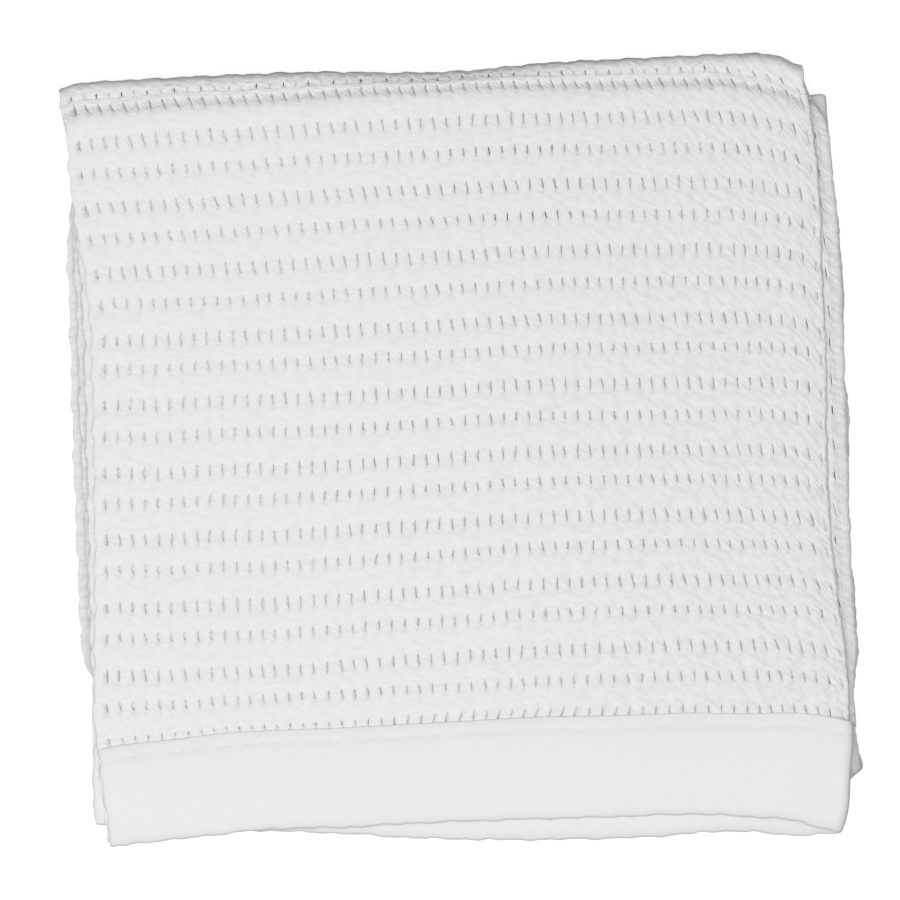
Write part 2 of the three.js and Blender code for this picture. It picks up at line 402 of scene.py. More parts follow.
def place(along, across, offset):
    """Where a point of the folded blanket lies, as in the solids.

    along: 0-1 the top layer from its hem, 1-2 the rear bend, 2-3 the middle layer, 3-4 the front bend, 4-5
    the bottom layer to its hem. across: 0-1 the first ply from its selvedge, 1-2 round the fold, 2-3 the
    second ply. offset: height over the ply's middle, outwards from the fold. Each bend is a half circle.
    """
    round_share = np.clip(across - 1, 0, 1)
    reach = fold_reach(across)
    turn = math.pi * (0.5 - round_share)
    out = PLY_PITCH / 2 + offset
    rise = out * np.sin(turn)
    nominal = plain_x(across)
    second = across >= 1.5

    def hem(ends):
        return mix(read(ends, "first", nominal), read(ends, "second", nominal), round_share)

    def side(sides, y):
        left = np.where(second, read(sides, "second", y), read(sides, "first", y))
        return mix(left, read(sides, "fold", y) - PAIR_REACH, reach) + out * np.cos(turn)

    rear = read(REAR_FOLD, "reach", nominal) - BEND_REACH
    front = read(FRONT_FOLD, "reach", nominal) + BEND_REACH
    share = along - np.floor(np.clip(along, 0, 4))
    bend = math.pi * share
    parts = [along <= 1, along < 2, along <= 3, along < 4]

    top_y = mix(hem(FRONT_HEM), rear, along)
    rear_y = rear + (BEND_RADIUS + rise) * np.sin(bend)
    middle_y = mix(rear, front, along - 2)
    front_y = front - (BEND_RADIUS - rise) * np.sin(bend)
    bottom_y = mix(front, hem(REAR_HEM), share)
    y = np.select(parts, [top_y, rear_y, middle_y, front_y], bottom_y)

    rear_x = mix(side(TOP_SIDES, rear), side(MIDDLE_SIDES, rear), share)
    front_x = mix(side(MIDDLE_SIDES, front), side(BOTTOM_SIDES, front), share)
    side_x = [side(TOP_SIDES, top_y), rear_x, side(MIDDLE_SIDES, middle_y), front_x]
    x = np.select(parts, side_x, side(BOTTOM_SIDES, bottom_y))

    end_lift = END_LIFT * smooth(1 - ((1 - share) * BOTTOM_LENGTH - END_LIFT_DEPTH) / END_LIFT_RUN)
    heights = [
        TOP_HEIGHT + rise,
        TOP_HEIGHT - BEND_RADIUS + (BEND_RADIUS + rise) * np.cos(bend),
        MIDDLE_HEIGHT - rise,
        MIDDLE_HEIGHT - BEND_RADIUS + (BEND_RADIUS - rise) * np.cos(bend),
    ]
    z = np.select(parts, heights, BOTTOM_HEIGHT + rise + end_lift) * swell(x, y)
    droop = DROOP * np.clip((DROOP_FROM - y) / DROOP_RUN, 0, 1) ** 2
    return np.stack([x, y, np.where(along <= 1, z - droop, z)], axis=-1)


def fold_shares(a):
    """The place across the fold, 0 to 3, of a place a across the flat cloth."""
    return np.select(
        [a < PLY_WIDTH, a < PLY_WIDTH + FOLD_ARC],
        [a / PLY_WIDTH, 1 + (a - PLY_WIDTH) / FOLD_ARC],
        2 + (a - PLY_WIDTH - FOLD_ARC) / PLY_WIDTH,
    )


def row_shift(nominal, s):
    """How far the top layer's rows lie from the outline's own lines: its table read across, then in
    straight lines from level to level along the cloth, from none at the hem to none on the middle layer."""
    levels = ROW_SHIFTS["columns"][1:]
    hats = np.eye(len(levels))
    total = sum(
        np.interp(s, levels, hat) * read(ROW_SHIFTS, level, nominal) for level, hat in zip(levels, hats)
    )
    gone = smooth((s - levels[-1] - WIDE_ARC) / ROW_SHIFT_RUN)
    return total * np.clip(s / levels[0], 0, 1) * (1 - gone)


def mouth_depth(a, s):
    """Depth of a binding's mouth from its hem at a place on the cloth."""
    nominal = mix(LEFT_SIDE, RIGHT_SIDE, np.clip(a / PLY_WIDTH, 0, 1))
    seen = (1 - smooth((a - PLY_WIDTH) / FOLD_ARC)) * (s < CLOTH_LENGTH / 2)
    return mix(PLAIN_MOUTH_DEPTH, read(MOUTH_DEPTHS, "depth", nominal), seen)


def lay(a, s, offset):
    """Where a point of the flat cloth lies in the fold, in the tables' frame, in millimetres.

    a runs across from the first ply's selvedge and s along from the front hem. The first ply takes the wide
    arc of the rear bend and the tight one of the front bend, and the second ply the other two, shearing
    near the fold.
    """
    a, s, offset = np.broadcast_arrays(a, s, offset)
    across = fold_shares(a)
    s = s + row_shift(plain_x(across), s)
    sheared = smooth((a - FOLD_MIDDLE + SHEAR_RUN) / (2 * SHEAR_RUN))
    rear_arc = mix(WIDE_ARC, TIGHT_ARC, sheared)
    front_arc = mix(TIGHT_ARC, WIDE_ARC, sheared)
    ends = np.cumsum(
        [np.full_like(s, TOP_LENGTH), rear_arc, np.full_like(s, MIDDLE_LENGTH), front_arc], axis=0
    )
    along = np.select(
        [s < ends[0], s < ends[1], s < ends[2], s < ends[3]],
        [
            s / TOP_LENGTH,
            1 + (s - ends[0]) / rear_arc,
            2 + (s - ends[1]) / MIDDLE_LENGTH,
            3 + (s - ends[2]) / front_arc,
        ],
        4 + (s - ends[3]) / BOTTOM_LENGTH,
    )
    return place(along, across, offset)


def table_origin():
    """The shift that lays the tables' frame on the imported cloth: between the middles of the two boxes."""
    a = np.linspace(0, CLOTH_WIDTH, 240)[:, None]
    s = np.linspace(2.5, CLOTH_LENGTH - 2.5, 900)[None, :]
    points = lay(a, s, CLOTH_THICK / 2).reshape(-1, 3)
    low, high = (np.array(corner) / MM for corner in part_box(CLOTH_NODE))
    shift = (low + high) / 2 - (points.min(0) + points.max(0)) / 2
    return np.array([shift[0], shift[1], 0.0])


ORIGIN = table_origin()


def laid_points(a, s, offset):
    """The same in metres, in the part's frame."""
    points = lay(a, s, offset) + ORIGIN
    points[..., 2] = np.maximum(points[..., 2], FLOOR_GAP)
    return points * MM


def put_object(name, data):
    """A new object in the scene, at the origin."""
    made = bpy.data.objects.new(name, data)
    bpy.context.scene.collection.objects.link(made)
    return made


def put_mesh(name, points, faces, maps, finish):
    """A new object from points in metres and groups of faces that have the same number of corners.

    maps holds, by name, one array of corner places for each group of faces.
    """
    mesh = bpy.data.meshes.new(name)
    corners = np.concatenate([group.ravel() for group in faces]).astype(np.int32)
    counts = np.concatenate([np.full(len(group), group.shape[1]) for group in faces])
    starts = np.concatenate([[0], np.cumsum(counts)[:-1]]).astype(np.int32)
    mesh.vertices.add(len(points))
    mesh.loops.add(len(corners))
    mesh.polygons.add(len(counts))
    mesh.vertices.foreach_set("co", np.asarray(points, np.float32).ravel())
    mesh.loops.foreach_set("vertex_index", corners)
    mesh.polygons.foreach_set("loop_start", starts)
    for layer, groups in maps.items():
        uv = mesh.uv_layers.new(name=layer)
        uv.uv.foreach_set("vector", np.concatenate([g.reshape(-1) for g in groups]).astype(np.float32))
    mesh.update(calc_edges=True)
    mesh.validate()
    mesh.polygons.foreach_set("use_smooth", np.ones(len(mesh.polygons), bool))
    mesh.materials.append(finish)
    return put_object(name, mesh)


def settle(piece, slot, *nodes):
    """Makes a piece ride on the blanket's one body and stand for its nodes. slot is not used."""
    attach(piece, "root")
    if nodes:
        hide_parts(*nodes)


# The cellular cloth.

def row_places():
    """Middles of the rows of cells along the whole cloth: those of the top layer, then pairs to the other
    end."""
    places = list(TOP_ROWS)
    last = CLOTH_LENGTH - TOP_ROWS[0]
    count = round((last - places[-1]) / ROW_PITCH)
    for k in range(1, count + 1):
        closer = PAIR_SHIFT * (1 if (len(TOP_ROWS) + k) % 2 else -1)
        places.append(mix(TOP_ROWS[-1], last, k / count) + (closer if k < count else 0))
    return np.array(places)


ROWS = row_places()


def aligned(x, y):
    """1 where the plies' slits lie over each other and 0 elsewhere: a sum of soft round patches."""
    total = np.zeros_like(x)
    for at_x, at_y, reach_x, reach_y, share in ALIGNED_PATCHES["rows"]:
        total = total + share * np.exp(-(((x - at_x) / reach_x) ** 2) - ((y - at_y) / reach_y) ** 2)
    return np.clip(total, 0, 1)


# How far the cells scatter at random: places in millimetres, the rest as shares or slopes.
SCATTER = {
    "a": 0.16, "s": 0.18, "half": 0.2, "tip": 0.08,
    "lean": 0.07, "tuft": 0.08, "ragged": 0.2, "crooked": 0.08,
}
SWAY_WAVES = table(("share", "across_run", "along_run", "phase"), [0.25, 23, 37, 0], [0.2, 11, -19, 1])

# Past the middle of the fold: where the second ply counts as such and over what run, and the row at which
# it stops being hidden. The second ply's slits fall out of step from a little before the fold, over a
# longer run.
SECOND_FROM, SECOND_RUN, SEEN_FROM = 12.0, 25.0, TOP_LENGTH - 8.0
STEP_LEAD, STEP_RUN = 14.0, 50.0

# The slits' lean from left to right, with a sway, and that of the first row, which leans the other way in
# the middle. How far slits open, in the same way, and by how much every other slit differs on some rows.
# Slits stay shut on the crease of the fold, open over a short run and are narrow near it, and the rows on
# the rear fold and at the left of the hem are closer.
LEAN = {"left": 0.04, "more": 0.1, "from": 20, "run": 150, "sway": 0.07}
HEM_LEAN = {"sides": 0.1, "less": 0.55, "middle": 25, "reach": 60}
OPEN = {"left": 0.76, "less": 0.1, "from": 40, "run": 120, "sway": 0.1}
EVERY_OTHER = {"fold": 0.7, "last": 0.35, "first": 0.35, "rest": 0.06}
CREASE = {"shut": 2, "opening": 1.8, "near": 6, "run": 5, "top": 0.2, "below": 0.8}
FOLD_OPEN, SECOND_SHUT = 0.6, 0.96
HEM_OPEN = {"left": 0.35, "to": 75, "run": 50, "tip": 0.6}
LONG_ROW_WIDTH, SHORT_ROW_WIDTH = 0.95, 1.06
HEM_CLEAR = 0.2


def cell_unevenness(sizes):
    """For every row and cell: the slit's places across and along, its half width and half length, its lean,
    the height of the tuft beside it and how ragged and crooked its sides are.

    Slits are wider at the left, and closer and shorter on the fold. The second ply's rows of the top layer
    are moved where they don't align.
    """
    rng = np.random.default_rng(sizes.seed)
    row, s = np.arange(len(ROWS))[:, None], ROWS[:, None]
    centre = SLIT_MARGIN + CELL_PITCH * np.arange(CELLS + 1)[None, :]
    x = plain_x(fold_shares(np.minimum(centre, CLOTH_WIDTH)))
    y = s - TOP_LENGTH / 2
    to_fold = np.where(centre < FOLD_MIDDLE, 1, -1)
    second = smooth((centre - FOLD_MIDDLE - SECOND_FROM) / SECOND_RUN)
    hidden = second * (s < SEEN_FROM)
    long_row, first = row % 2 == 0, row == 0
    fold, last = row == len(TOP_ROWS) - 1, row == len(TOP_ROWS) - 2

    def scatter(name, mean=0, *steps):
        return rng.normal(mean, SCATTER[name], (len(ROWS), CELLS + 1, *steps))

    faded = smooth((abs(x - SLANT["middle"]) - SLANT["reach"]) / SLANT["fade"])
    slant = SLANT["slope"] * (s - SLANT["level"]) * (1 - faded)
    on_top = 1 - smooth((s - TOP_LENGTH) / SHEAR_RUN)
    drawn_back = FOLD_DRAW["shift"] * smooth((x - FOLD_DRAW["from"]) / FOLD_DRAW["run"])
    drawn = mix(drawn_back, read(COLUMN_SHIFTS, "shift", x) + slant, on_top) * to_fold
    drift = UNALIGNED_SHIFT * (1 - aligned(x, y)) * hidden
    from_fold = smooth((centre - FOLD_MIDDLE + STEP_LEAD) / STEP_RUN)
    from_edge = smooth((CLOTH_WIDTH - centre - SLIT_MARGIN) / STEP_RUN)
    out_of_step = CELL_PITCH / 2 * from_fold * from_edge * (1 - aligned(x, y) * hidden)

    def rightwards(by):
        return smooth((x - by["from"]) / by["run"])

    lean = LEAN["left"] + LEAN["more"] * rightwards(LEAN) + LEAN["sway"] * np.sin(y / 40 + x / 60)
    leftwards = HEM_LEAN["less"] * np.exp(-(((x - HEM_LEAN["middle"]) / HEM_LEAN["reach"]) ** 2))
    lean = np.where(first, HEM_LEAN["sides"] - leftwards, lean)
    tip = np.select([first, fold, long_row], [HEM_SLIT_HALF, FOLD_SLIT_HALF, LONG_SLIT_HALF], SHORT_SLIT_HALF)
    sway = OPEN["sway"] * np.sin(x / 31 + 2 * np.sin(y / 25))
    differ = [EVERY_OTHER[name] for name in ("fold", "last", "first")]
    differ = np.select([fold, last, first], differ, EVERY_OTHER["rest"])
    open_share = OPEN["left"] - OPEN["less"] * rightwards(OPEN) + sway
    open_share = open_share * (1 + differ * (1 - 2 * (np.arange(CELLS + 1) % 2)))
    open_share = open_share * np.where(fold | last, 1 - SECOND_SHUT * second, 1)
    from_crease = abs(centre + drawn - FOLD_MIDDLE)
    nearest = mix(CREASE["below"], CREASE["top"], on_top)
    near_fold = mix(nearest, 1, smooth((from_crease - CREASE["near"]) / CREASE["run"]))
    open_share = open_share * smooth((from_crease - CREASE["shut"]) / CREASE["opening"]) * near_fold
    open_share = open_share * np.where(fold, FOLD_OPEN, 1)
    hem_share = np.where(first, mix(HEM_OPEN["left"], 1, smooth((x + HEM_OPEN["to"]) / HEM_OPEN["run"])), 1)
    width = np.where(long_row, LONG_ROW_WIDTH, SHORT_ROW_WIDTH) * sizes.slit_width / MM / 2
    along = np.where(first, mouth_depth(centre, 0) + HEM_SLIT_HALF + HEM_CLEAR, s)
    across = centre + waves(SWAY_WAVES, x, y) + drawn + out_of_step + scatter("a")
    return {
        "a": np.clip(across, LEAST_MARGIN, CLOTH_WIDTH + CELL_PITCH),
        "s": along + drift + scatter("s"),
        "half": width * open_share * hem_share * scatter("half", 1).clip(0.5, 1.5),
        "tip": tip * mix(1, hem_share, HEM_OPEN["tip"]) * scatter("tip", 1).clip(0.8, 1.2),
        "lean": lean + scatter("lean"),
        "tuft": scatter("tuft"),
        "ragged": scatter("ragged", 1, len(FINE_SLIT)).clip(0.6, 1.45),
        "crooked": scatter("crooked", 0, len(FINE_SLIT)),
    }


def slit_share(v):
    """The slit's half width as a share of its widest: a pointed oval, 1 - |v|^2.4, no narrower than its
    tips."""
    return np.maximum(1 - abs(v) ** 2.4, TIP_SHARE)


def cloth_lines(cells, first_row, last_row, first_cell, last_cell, fine):
    """The lines across the cloth of one piece, as arrays with a row for each line and a column for each
    cell.

    Each row of cells has lines through its slits and then lines through the plain band above it. s is a
    line's place along the cloth, mid and half the slit's middle and half width there, slit and ridge how
    far the line is in the slits and on the band's ridge, and count its place in rows of cells.
    """
    pick = slice(first_cell, last_cell + 2)
    names = ("s", "mid", "half", "slit", "ridge", "count", "tuft", "opens")
    lines = []

    def add(*values):
        lines.append(values)

    def get(name, row):
        return cells[name][row, pick]

    def at(row, v):
        s = get("s", row) + v * get("tip", row)
        mid = get("a", row) - v * get("lean", row) * get("tip", row)
        return s, mid + get("crooked", row)[:, FINE_SLIT.index(v) if v in FINE_SLIT else 1]

    level = np.ones(len(get("s", 0)))
    plain = BAND_LINE_HALF * level
    if first_row == 0:
        for depth in TONGUE_LINES:
            count = depth / ROW_PITCH - HEM_ROWS
            add(depth * level, get("a", 0), plain, 0, TONGUE_RIDGE, count, 0 * level, False)
    for row in range(first_row, last_row + 1):
        for v in FINE_SLIT if fine else COARSE_SLIT:
            s, mid = at(row, v)
            ragged = get("ragged", row)[:, FINE_SLIT.index(v) if fine else 0]
            half = get("half", row) * slit_share(v) * ragged
            reach = v * get("tip", row).mean() / ROW_PITCH
            add(s, mid, half, 1 - 0.25 * v * v, 0.1 * v * v, row + reach, get("tuft", row), v < 1)
        if row == len(ROWS) - 1:
            break
        s, mid = at(row, 1)
        next_s, next_mid = at(row + 1, -1)
        for share in FINE_BAND if fine else COARSE_BAND:
            bulge = math.sin(math.pi * share) * min(1, (next_s - s).mean() / NARROW_BAND)
            half = mix(TIP_SHARE * level, plain, bulge)
            tuft = mix(get("tuft", row), get("tuft", row + 1), share)
            band_s, band_mid = mix(s, next_s, share), mix(mid, next_mid, share)
            add(band_s, band_mid, half, 0.3 * (1 - bulge), bulge, row + mix(0.2, 0.8, share), tuft, False)
    if last_row < len(ROWS) - 1:
        s, mid = at(last_row + 1, -1)
        half = get("half", last_row + 1) * TIP_SHARE
        add(s, mid, half, 0.75, 0.1, last_row + 0.8, get("tuft", last_row + 1), False)
    else:
        for depth in reversed(TONGUE_LINES):
            s, count = (CLOTH_LENGTH - depth) * level, len(ROWS) - 1 + HEM_ROWS - depth / ROW_PITCH
            add(s, get("a", last_row), plain, 0, TONGUE_RIDGE, count, 0 * level, False)
    found = {name: np.array(values, float) for name, values in zip(names, zip(*lines))}
    return {name: values if values.ndim == 2 else values[:, None] for name, values in found.items()}


def fray(run):
    """How far a selvedge or a hem stands out at a place along it: a sum of three sines."""
    slow = np.sin(run / 2.3 + 1.2 * np.sin(run / 17))
    return 0.35 + 0.42 * slow + 0.3 * np.sin(run / 5.1 + 2) + 0.22 * np.sin(run / 1.27 + np.sin(run / 9))


def cloth_columns(lines, bars, left_selvedge, right_selvedge):
    """The points of one face: for each line, both sides of every slit and the bar's points up to the next
    slit.

    Returns places across and along, bow (0 at a slit's side, 1 on the middle of a bar), tuft, edge (the
    share of the cloth's thickness) and whether a column is a slit's left side. Selvedges add plain columns.
    """
    s, mid, half, tuft = (lines[name] for name in ("s", "mid", "half", "tuft"))
    left, right = mid - half, mid + half
    count, wide = s.shape
    t = np.tile(np.arange(bars) / bars, (wide - 1, 1))
    centre = mid.mean(0)
    if bars == FINE_BARS:
        t[(centre[:-1] < FOLD_MIDDLE) & (centre[1:] > FOLD_MIDDLE)] = FOLD_BAR
    a_bars = mix(right[:, :-1, None], left[:, 1:, None], t)
    s_bars = mix(s[:, :-1, None], s[:, 1:, None], t)
    bow_bars = np.broadcast_to(4 * t * (1 - t), a_bars.shape)

    def per_cell(slit_side, bar):
        whole = np.concatenate([slit_side[:, :-1, None], bar], axis=2).reshape(count, -1)
        return np.concatenate([whole, slit_side[:, -1:]], axis=1)

    level = np.zeros_like(s)
    found = {
        "a": per_cell(left, a_bars),
        "s": per_cell(s, s_bars),
        "bow": per_cell(level, bow_bars),
        "tuft": per_cell(level, bow_bars * tuft[:, :-1, None]),
    }
    place_in_cell = np.arange(found["a"].shape[1])[None, :] % (bars + 1)
    found["opens"] = (place_in_cell == 0) & (np.arange(place_in_cell.size) < place_in_cell.size - 1)
    found["edge"] = np.ones(place_in_cell.shape)
    step_in, thick = np.array(SELVEDGE_LINES).T

    def plain_columns(a, s_edge, edge):
        level = np.zeros_like(a)
        return {
            "a": a, "s": s_edge + level, "bow": level + 1, "tuft": level, "opens": level[:1] > 0,
            "edge": edge[None, :],
        }

    if right_selvedge:
        found = {name: columns[:, :-bars] for name, columns in found.items()}
        inset = step_in[::-1]
        a = CLOTH_WIDTH - inset + fray(s[:, -1:] + 40) * (1 - inset / inset[0])
        added = plain_columns(a, found["s"][:, -1:], thick[::-1])
        found = {name: np.concatenate([columns, added[name]], axis=1) for name, columns in found.items()}
    if left_selvedge:
        a = step_in - fray(s[:, :1]) * (1 - step_in / step_in[-1])
        added = plain_columns(a, found["s"][:, :1], thick)
        found = {name: np.concatenate([added[name], columns], axis=1) for name, columns in found.items()}
    found["opens"] = found["opens"][0]
    return found


# How far the plies of the top layer are drawn together, from where past the fold and until where past the
# layer, and how much further the bands of one sink into the rows of the other.
NESTLE = 4.25
NESTLE_FROM = 4.0
NESTLE_END = 14.0
INTERLOCK = 0.2

# The step before the rear bend, the slope of the top fold on its way down, how much squarer the lower folds
# are pressed, and the middle layer's fold, which stands up beside the top one.
REAR_STEP = {"place": TOP_LENGTH - 6.0, "run": 5.4, "depth": 2.4, "end": TOP_LENGTH + 3.0, "fade": 8.5}
SIDE_SLOPE = {"place": PLY_WIDTH + 1.0, "depth": 2.0, "in_run": 7.0, "out_run": 5.0}
PRESSED = 0.6
LOOP = {"rise": 3.6, "place": 4.6, "in_run": 3.5, "out_run": 5.5, "start": TOP_LENGTH + WIDE_ARC + 10}
LAYER_CHANGE = 12.0
BEND_RUN = 9.0

# Depth of the dimples in the bands, and how much flatter the cloth is where a bend stretches it.
BAND_DIMPLE = 0.16
STRETCHED = 0.8


def nestle(a, s):
    """How far the second ply of the top layer rises towards the first, so that it shows close below the
    slits.

    Where the slits aren't aligned the bands of one ply sink into the rows of the other as well.
    """
    from_fold = smooth((a - FOLD_MIDDLE - NESTLE_FROM) / BEND_RUN)
    from_edge = mix(0.5, 1, smooth((CLOTH_WIDTH - a) / 7))
    from_hem = smooth((s - BINDING_DEPTH + 0.5) / 8)
    from_bend = smooth((TOP_LENGTH + NESTLE_END - s) / NESTLE_END)
    x = mix(RIGHT_SIDE, LEFT_SIDE, np.clip((a - PLY_WIDTH - FOLD_ARC) / PLY_WIDTH, 0, 1))
    deepest = NESTLE + INTERLOCK * (1 - aligned(x, s - TOP_LENGTH / 2))
    return deepest * from_fold * from_edge * from_hem * from_bend


def hump(away, in_run, out_run):
    """A bell curve of height 1 with a run of its own on each side: the first where away is below 0."""
    return np.exp(-((away / np.where(away < 0, in_run, out_run)) ** 2))


def sink(a, s):
    """How far the cloth is drawn inwards of its fold: a smooth step down to the rear bend, outwards on the
    second ply, and a bell-shaped slope on the top fold.

    On the lower layers the fold is pressed squarer instead, by the square of a sine round it, and that of
    the middle one stands out in a bell-shaped loop beside the top one.
    """
    step = smooth((s - REAR_STEP["place"]) / REAR_STEP["run"])
    depth = REAR_STEP["depth"] * step * (1 - smooth((s - REAR_STEP["end"]) / REAR_STEP["fade"]))
    round_share = np.clip((a - PLY_WIDTH) / FOLD_ARC, 0, 1)
    on_top = 1 - smooth((s - TOP_LENGTH) / LAYER_CHANGE)
    slope = SIDE_SLOPE["depth"] * hump(a - SIDE_SLOPE["place"], SIDE_SLOPE["in_run"], SIDE_SLOPE["out_run"])
    square = PRESSED * np.sin(2 * math.pi * round_share) ** 2
    upward = a - FOLD_MIDDLE
    loop = LOOP["rise"] * hump(LOOP["place"] + FOLD_ARC / 2 - upward, LOOP["out_run"], LOOP["in_run"])
    loop = loop * smooth(3 * upward / FOLD_ARC) * smooth((s - LOOP["start"]) / LAYER_CHANGE)
    at_bottom = smooth((s - TOP_LENGTH - WIDE_ARC - MIDDLE_LENGTH) / TIGHT_ARC)
    drawn_in = depth * (1 - 2 * smooth(round_share))
    return drawn_in + slope * on_top - square * (1 - on_top) - loop * (1 - at_bottom)


def bend_share(a, s):
    """1 on a bend or on the fold across the width and 0 away from them, where the cloth is stretched
    smoother: the highest of three bell curves."""
    rear = TOP_LENGTH + WIDE_ARC / 2
    front = TOP_LENGTH + WIDE_ARC + MIDDLE_LENGTH + TIGHT_ARC / 2
    away = np.minimum(abs(a - FOLD_MIDDLE), np.minimum(abs(s - rear), abs(s - front)))
    return np.exp(-((away / BEND_RUN) ** 2))


def bend_puffs(a, s):
    """Unevenness of a bend's outside: soft lumps, about two cells long across the cloth on the bends and of
    like size along it on the fold, as sums of sines."""
    across = np.sin(math.pi * (a - SLIT_MARGIN) / CELL_PITCH + 0.8) + 0.8 * np.sin(a / 3.3 + np.sin(s / 11))
    across = across + 0.6 * np.sin(a / 0.9 + 2 * np.sin(a / 13))
    along = np.sin(s / 2.4 + np.sin(s / 23)) + 0.8 * np.sin(s / 4.6 + 1)
    along = along + np.sin(s / 0.87 + 2 * np.sin(s / 9))
    by_fold = np.exp(-(((a - FOLD_MIDDLE) / 6) ** 2))
    puff = mix(0.22, 0.2, by_fold) * mix(across, along, by_fold)
    return (puff + 0.25) * bend_share(a, s)


def quads(*corners, flip=False):
    """Faces from four arrays of corners, turned over on demand."""
    faces = np.stack(corners, axis=-1).reshape(-1, 4)
    return faces[:, ::-1] if flip else faces


def grid(at, flip=False):
    """All the faces between the rows and columns of a grid of points."""
    return quads(at[:-1, :-1], at[:-1, 1:], at[1:, 1:], at[1:, :-1], flip=flip)


def cloth_face(lines, columns, sizes, outer):
    """The offset of one face of the cloth from the ply's middle.

    The outer face is highest on the bands' ridges and the bars' middles and falls to the slits' rims.
    Towards a selvedge both faces close in on the middle, and inside a binding they lie close together.
    """
    half = sizes.thickness / MM / 2
    middle = CLOTH_THICK / 2 - half
    ridge, slit = lines["ridge"], lines["slit"]
    hollow = 1 - columns["bow"]
    fall = sizes.ridge_height / MM * (1 - ridge)
    fall = fall + sizes.rim_fall / MM * slit * hollow + BAND_DIMPLE * hollow * (1 - slit)
    s = columns["s"]
    fall = fall * (1 - STRETCHED * bend_share(columns["a"], s)) - columns["tuft"]
    face = half - fall if outer else -half + INNER_RISE * fall + INTERLOCK * (1 - ridge)
    if outer:
        face = face + bend_puffs(columns["a"], s)
    into = np.minimum(s, CLOTH_LENGTH - s)
    thin = smooth((into - mouth_depth(columns["a"], s) + THIN_LEAD) / THIN_RUN)
    thin_face = THIN_HALF if outer else -THIN_HALF
    face = mix(thin_face, middle * thin + face * columns["edge"], thin)
    return face - nestle(columns["a"], s) - sink(columns["a"], s)


def end_edge(o, i, bars, lead, tail, flip):
    """Closes an end of a piece of cloth, between the last lines of points of its outer and its inner face.

    The outer line has more points, bars for each one of the inner line's, so each gap is a polygon of its
    own. lead and tail are the plain columns of the selvedges, which both lines have.
    """
    k = np.arange(len(i))
    cell, part = np.divmod(k - lead, 2)
    anchors = np.where(k < lead, k, lead + cell * (bars + 1) + part)
    anchors[len(i) - tail :] = len(o) - tail + np.arange(tail)
    gaps = np.diff(anchors)
    groups = []
    for gap in dict.fromkeys(gaps.tolist()):
        at = np.flatnonzero(gaps == gap)
        between = o[anchors[at, None] + np.arange(gap + 1)]
        ring = np.concatenate([between, i[at + 1, None], i[at, None]], axis=1)
        groups.append(ring[:, ::-1] if flip else ring)
    return groups


def cloth_piece(name, cells, sizes, finish, first_row, last_row, first_cell, last_cell, bars):
    """One piece of the cellular cloth: an outer and an inner face on the same lines, walls round every slit
    and closed edges. bars is the number of quads across a bar of the outer face."""
    selvedges = first_cell == 0, last_cell == CELLS - 1
    lines = cloth_lines(cells, first_row, last_row, first_cell, last_cell, bars == FINE_BARS)
    outer, inner = (cloth_columns(lines, count, *selvedges) for count in (bars, 1))
    points = [
        laid_points(face["a"], face["s"], cloth_face(lines, face, sizes, face is outer)).reshape(-1, 3)
        for face in (outer, inner)
    ]
    shown = outer["a"].size
    out_at = np.arange(shown).reshape(outer["a"].shape)
    in_at = shown + np.arange(inner["a"].size).reshape(inner["a"].shape)
    opens = lines["opens"][:-1, 0] > 0
    sides_out, sides_in = np.flatnonzero(outer["opens"]), np.flatnonzero(inner["opens"])
    rows_open = np.flatnonzero(opens)
    starts = rows_open[np.diff(rows_open, prepend=-2) > 1]
    stops = rows_open[np.diff(rows_open, append=len(opens) + 3) > 1] + 1
    every_row = np.arange(len(opens))

    def skin(at, columns, flip):
        closed = ~(opens[:, None] & columns["opens"][None, :-1])
        return grid(at, flip)[closed.ravel()]

    def wall(o, i, rows, flip):
        return quads(o[rows], i[rows], i[rows + 1], o[rows + 1], flip=flip)

    def tip(rows, flip):
        o, i = out_at[rows], in_at[rows]
        return quads(o[:, sides_out], o[:, sides_out + 1], i[:, sides_in + 1], i[:, sides_in], flip=flip)

    plain = [len(SELVEDGE_LINES) * selvedge for selvedge in selvedges]
    groups = [
        skin(out_at, outer, False),
        skin(in_at, inner, True),
        wall(out_at[:, sides_out], in_at[:, sides_in], rows_open, False),
        wall(out_at[:, sides_out + 1], in_at[:, sides_in + 1], rows_open, True),
        tip(starts, False),
        tip(stops, True),
        wall(out_at[:, 0], in_at[:, 0], every_row, True),
        wall(out_at[:, -1], in_at[:, -1], every_row, False),
        *end_edge(out_at[0], in_at[0], bars, *plain, True),
        *end_edge(out_at[-1], in_at[-1], bars, *plain, False),
    ]
    pattern = np.concatenate(
        [
            np.stack(np.broadcast_arrays((face["a"] - SLIT_MARGIN) / CELL_PITCH, lines["count"]), -1)
            .reshape(-1, 2)
            for face in (outer, inner)
        ]
    )
    chart = cloth_chart(shown, pattern)
    maps = {"weave": [pattern[g] for g in groups], "OFBake": [chart_corners(chart, g, shown) for g in groups]}
    piece = put_mesh(name, np.concatenate(points), groups, maps, finish)
    return piece, (np.ptp(outer["a"]) * MM, np.ptp(outer["s"]) * MM)


# On the map for baking: its free edge, the outer face's share, and the step of a wall's lower corners.
CHART_EDGE = 0.01
OUTER_SHARE = 0.64
WALL_NUDGE = (0.0012, 0.0004)


def cloth_chart(shown, pattern):
    """A second map that lays every face out once, for baking: the outer face, which has the first points,
    over most of the square and the inner one above it."""
    unit = (pattern - pattern.min(0)) / np.ptp(pattern, axis=0)
    chart = CHART_EDGE + (1 - 2 * CHART_EDGE) * unit
    outer = np.arange(len(chart)) < shown
    chart[:, 1] = mix(np.where(outer, 0.0, OUTER_SHARE), np.where(outer, OUTER_SHARE, 1.0), chart[:, 1])
    return chart


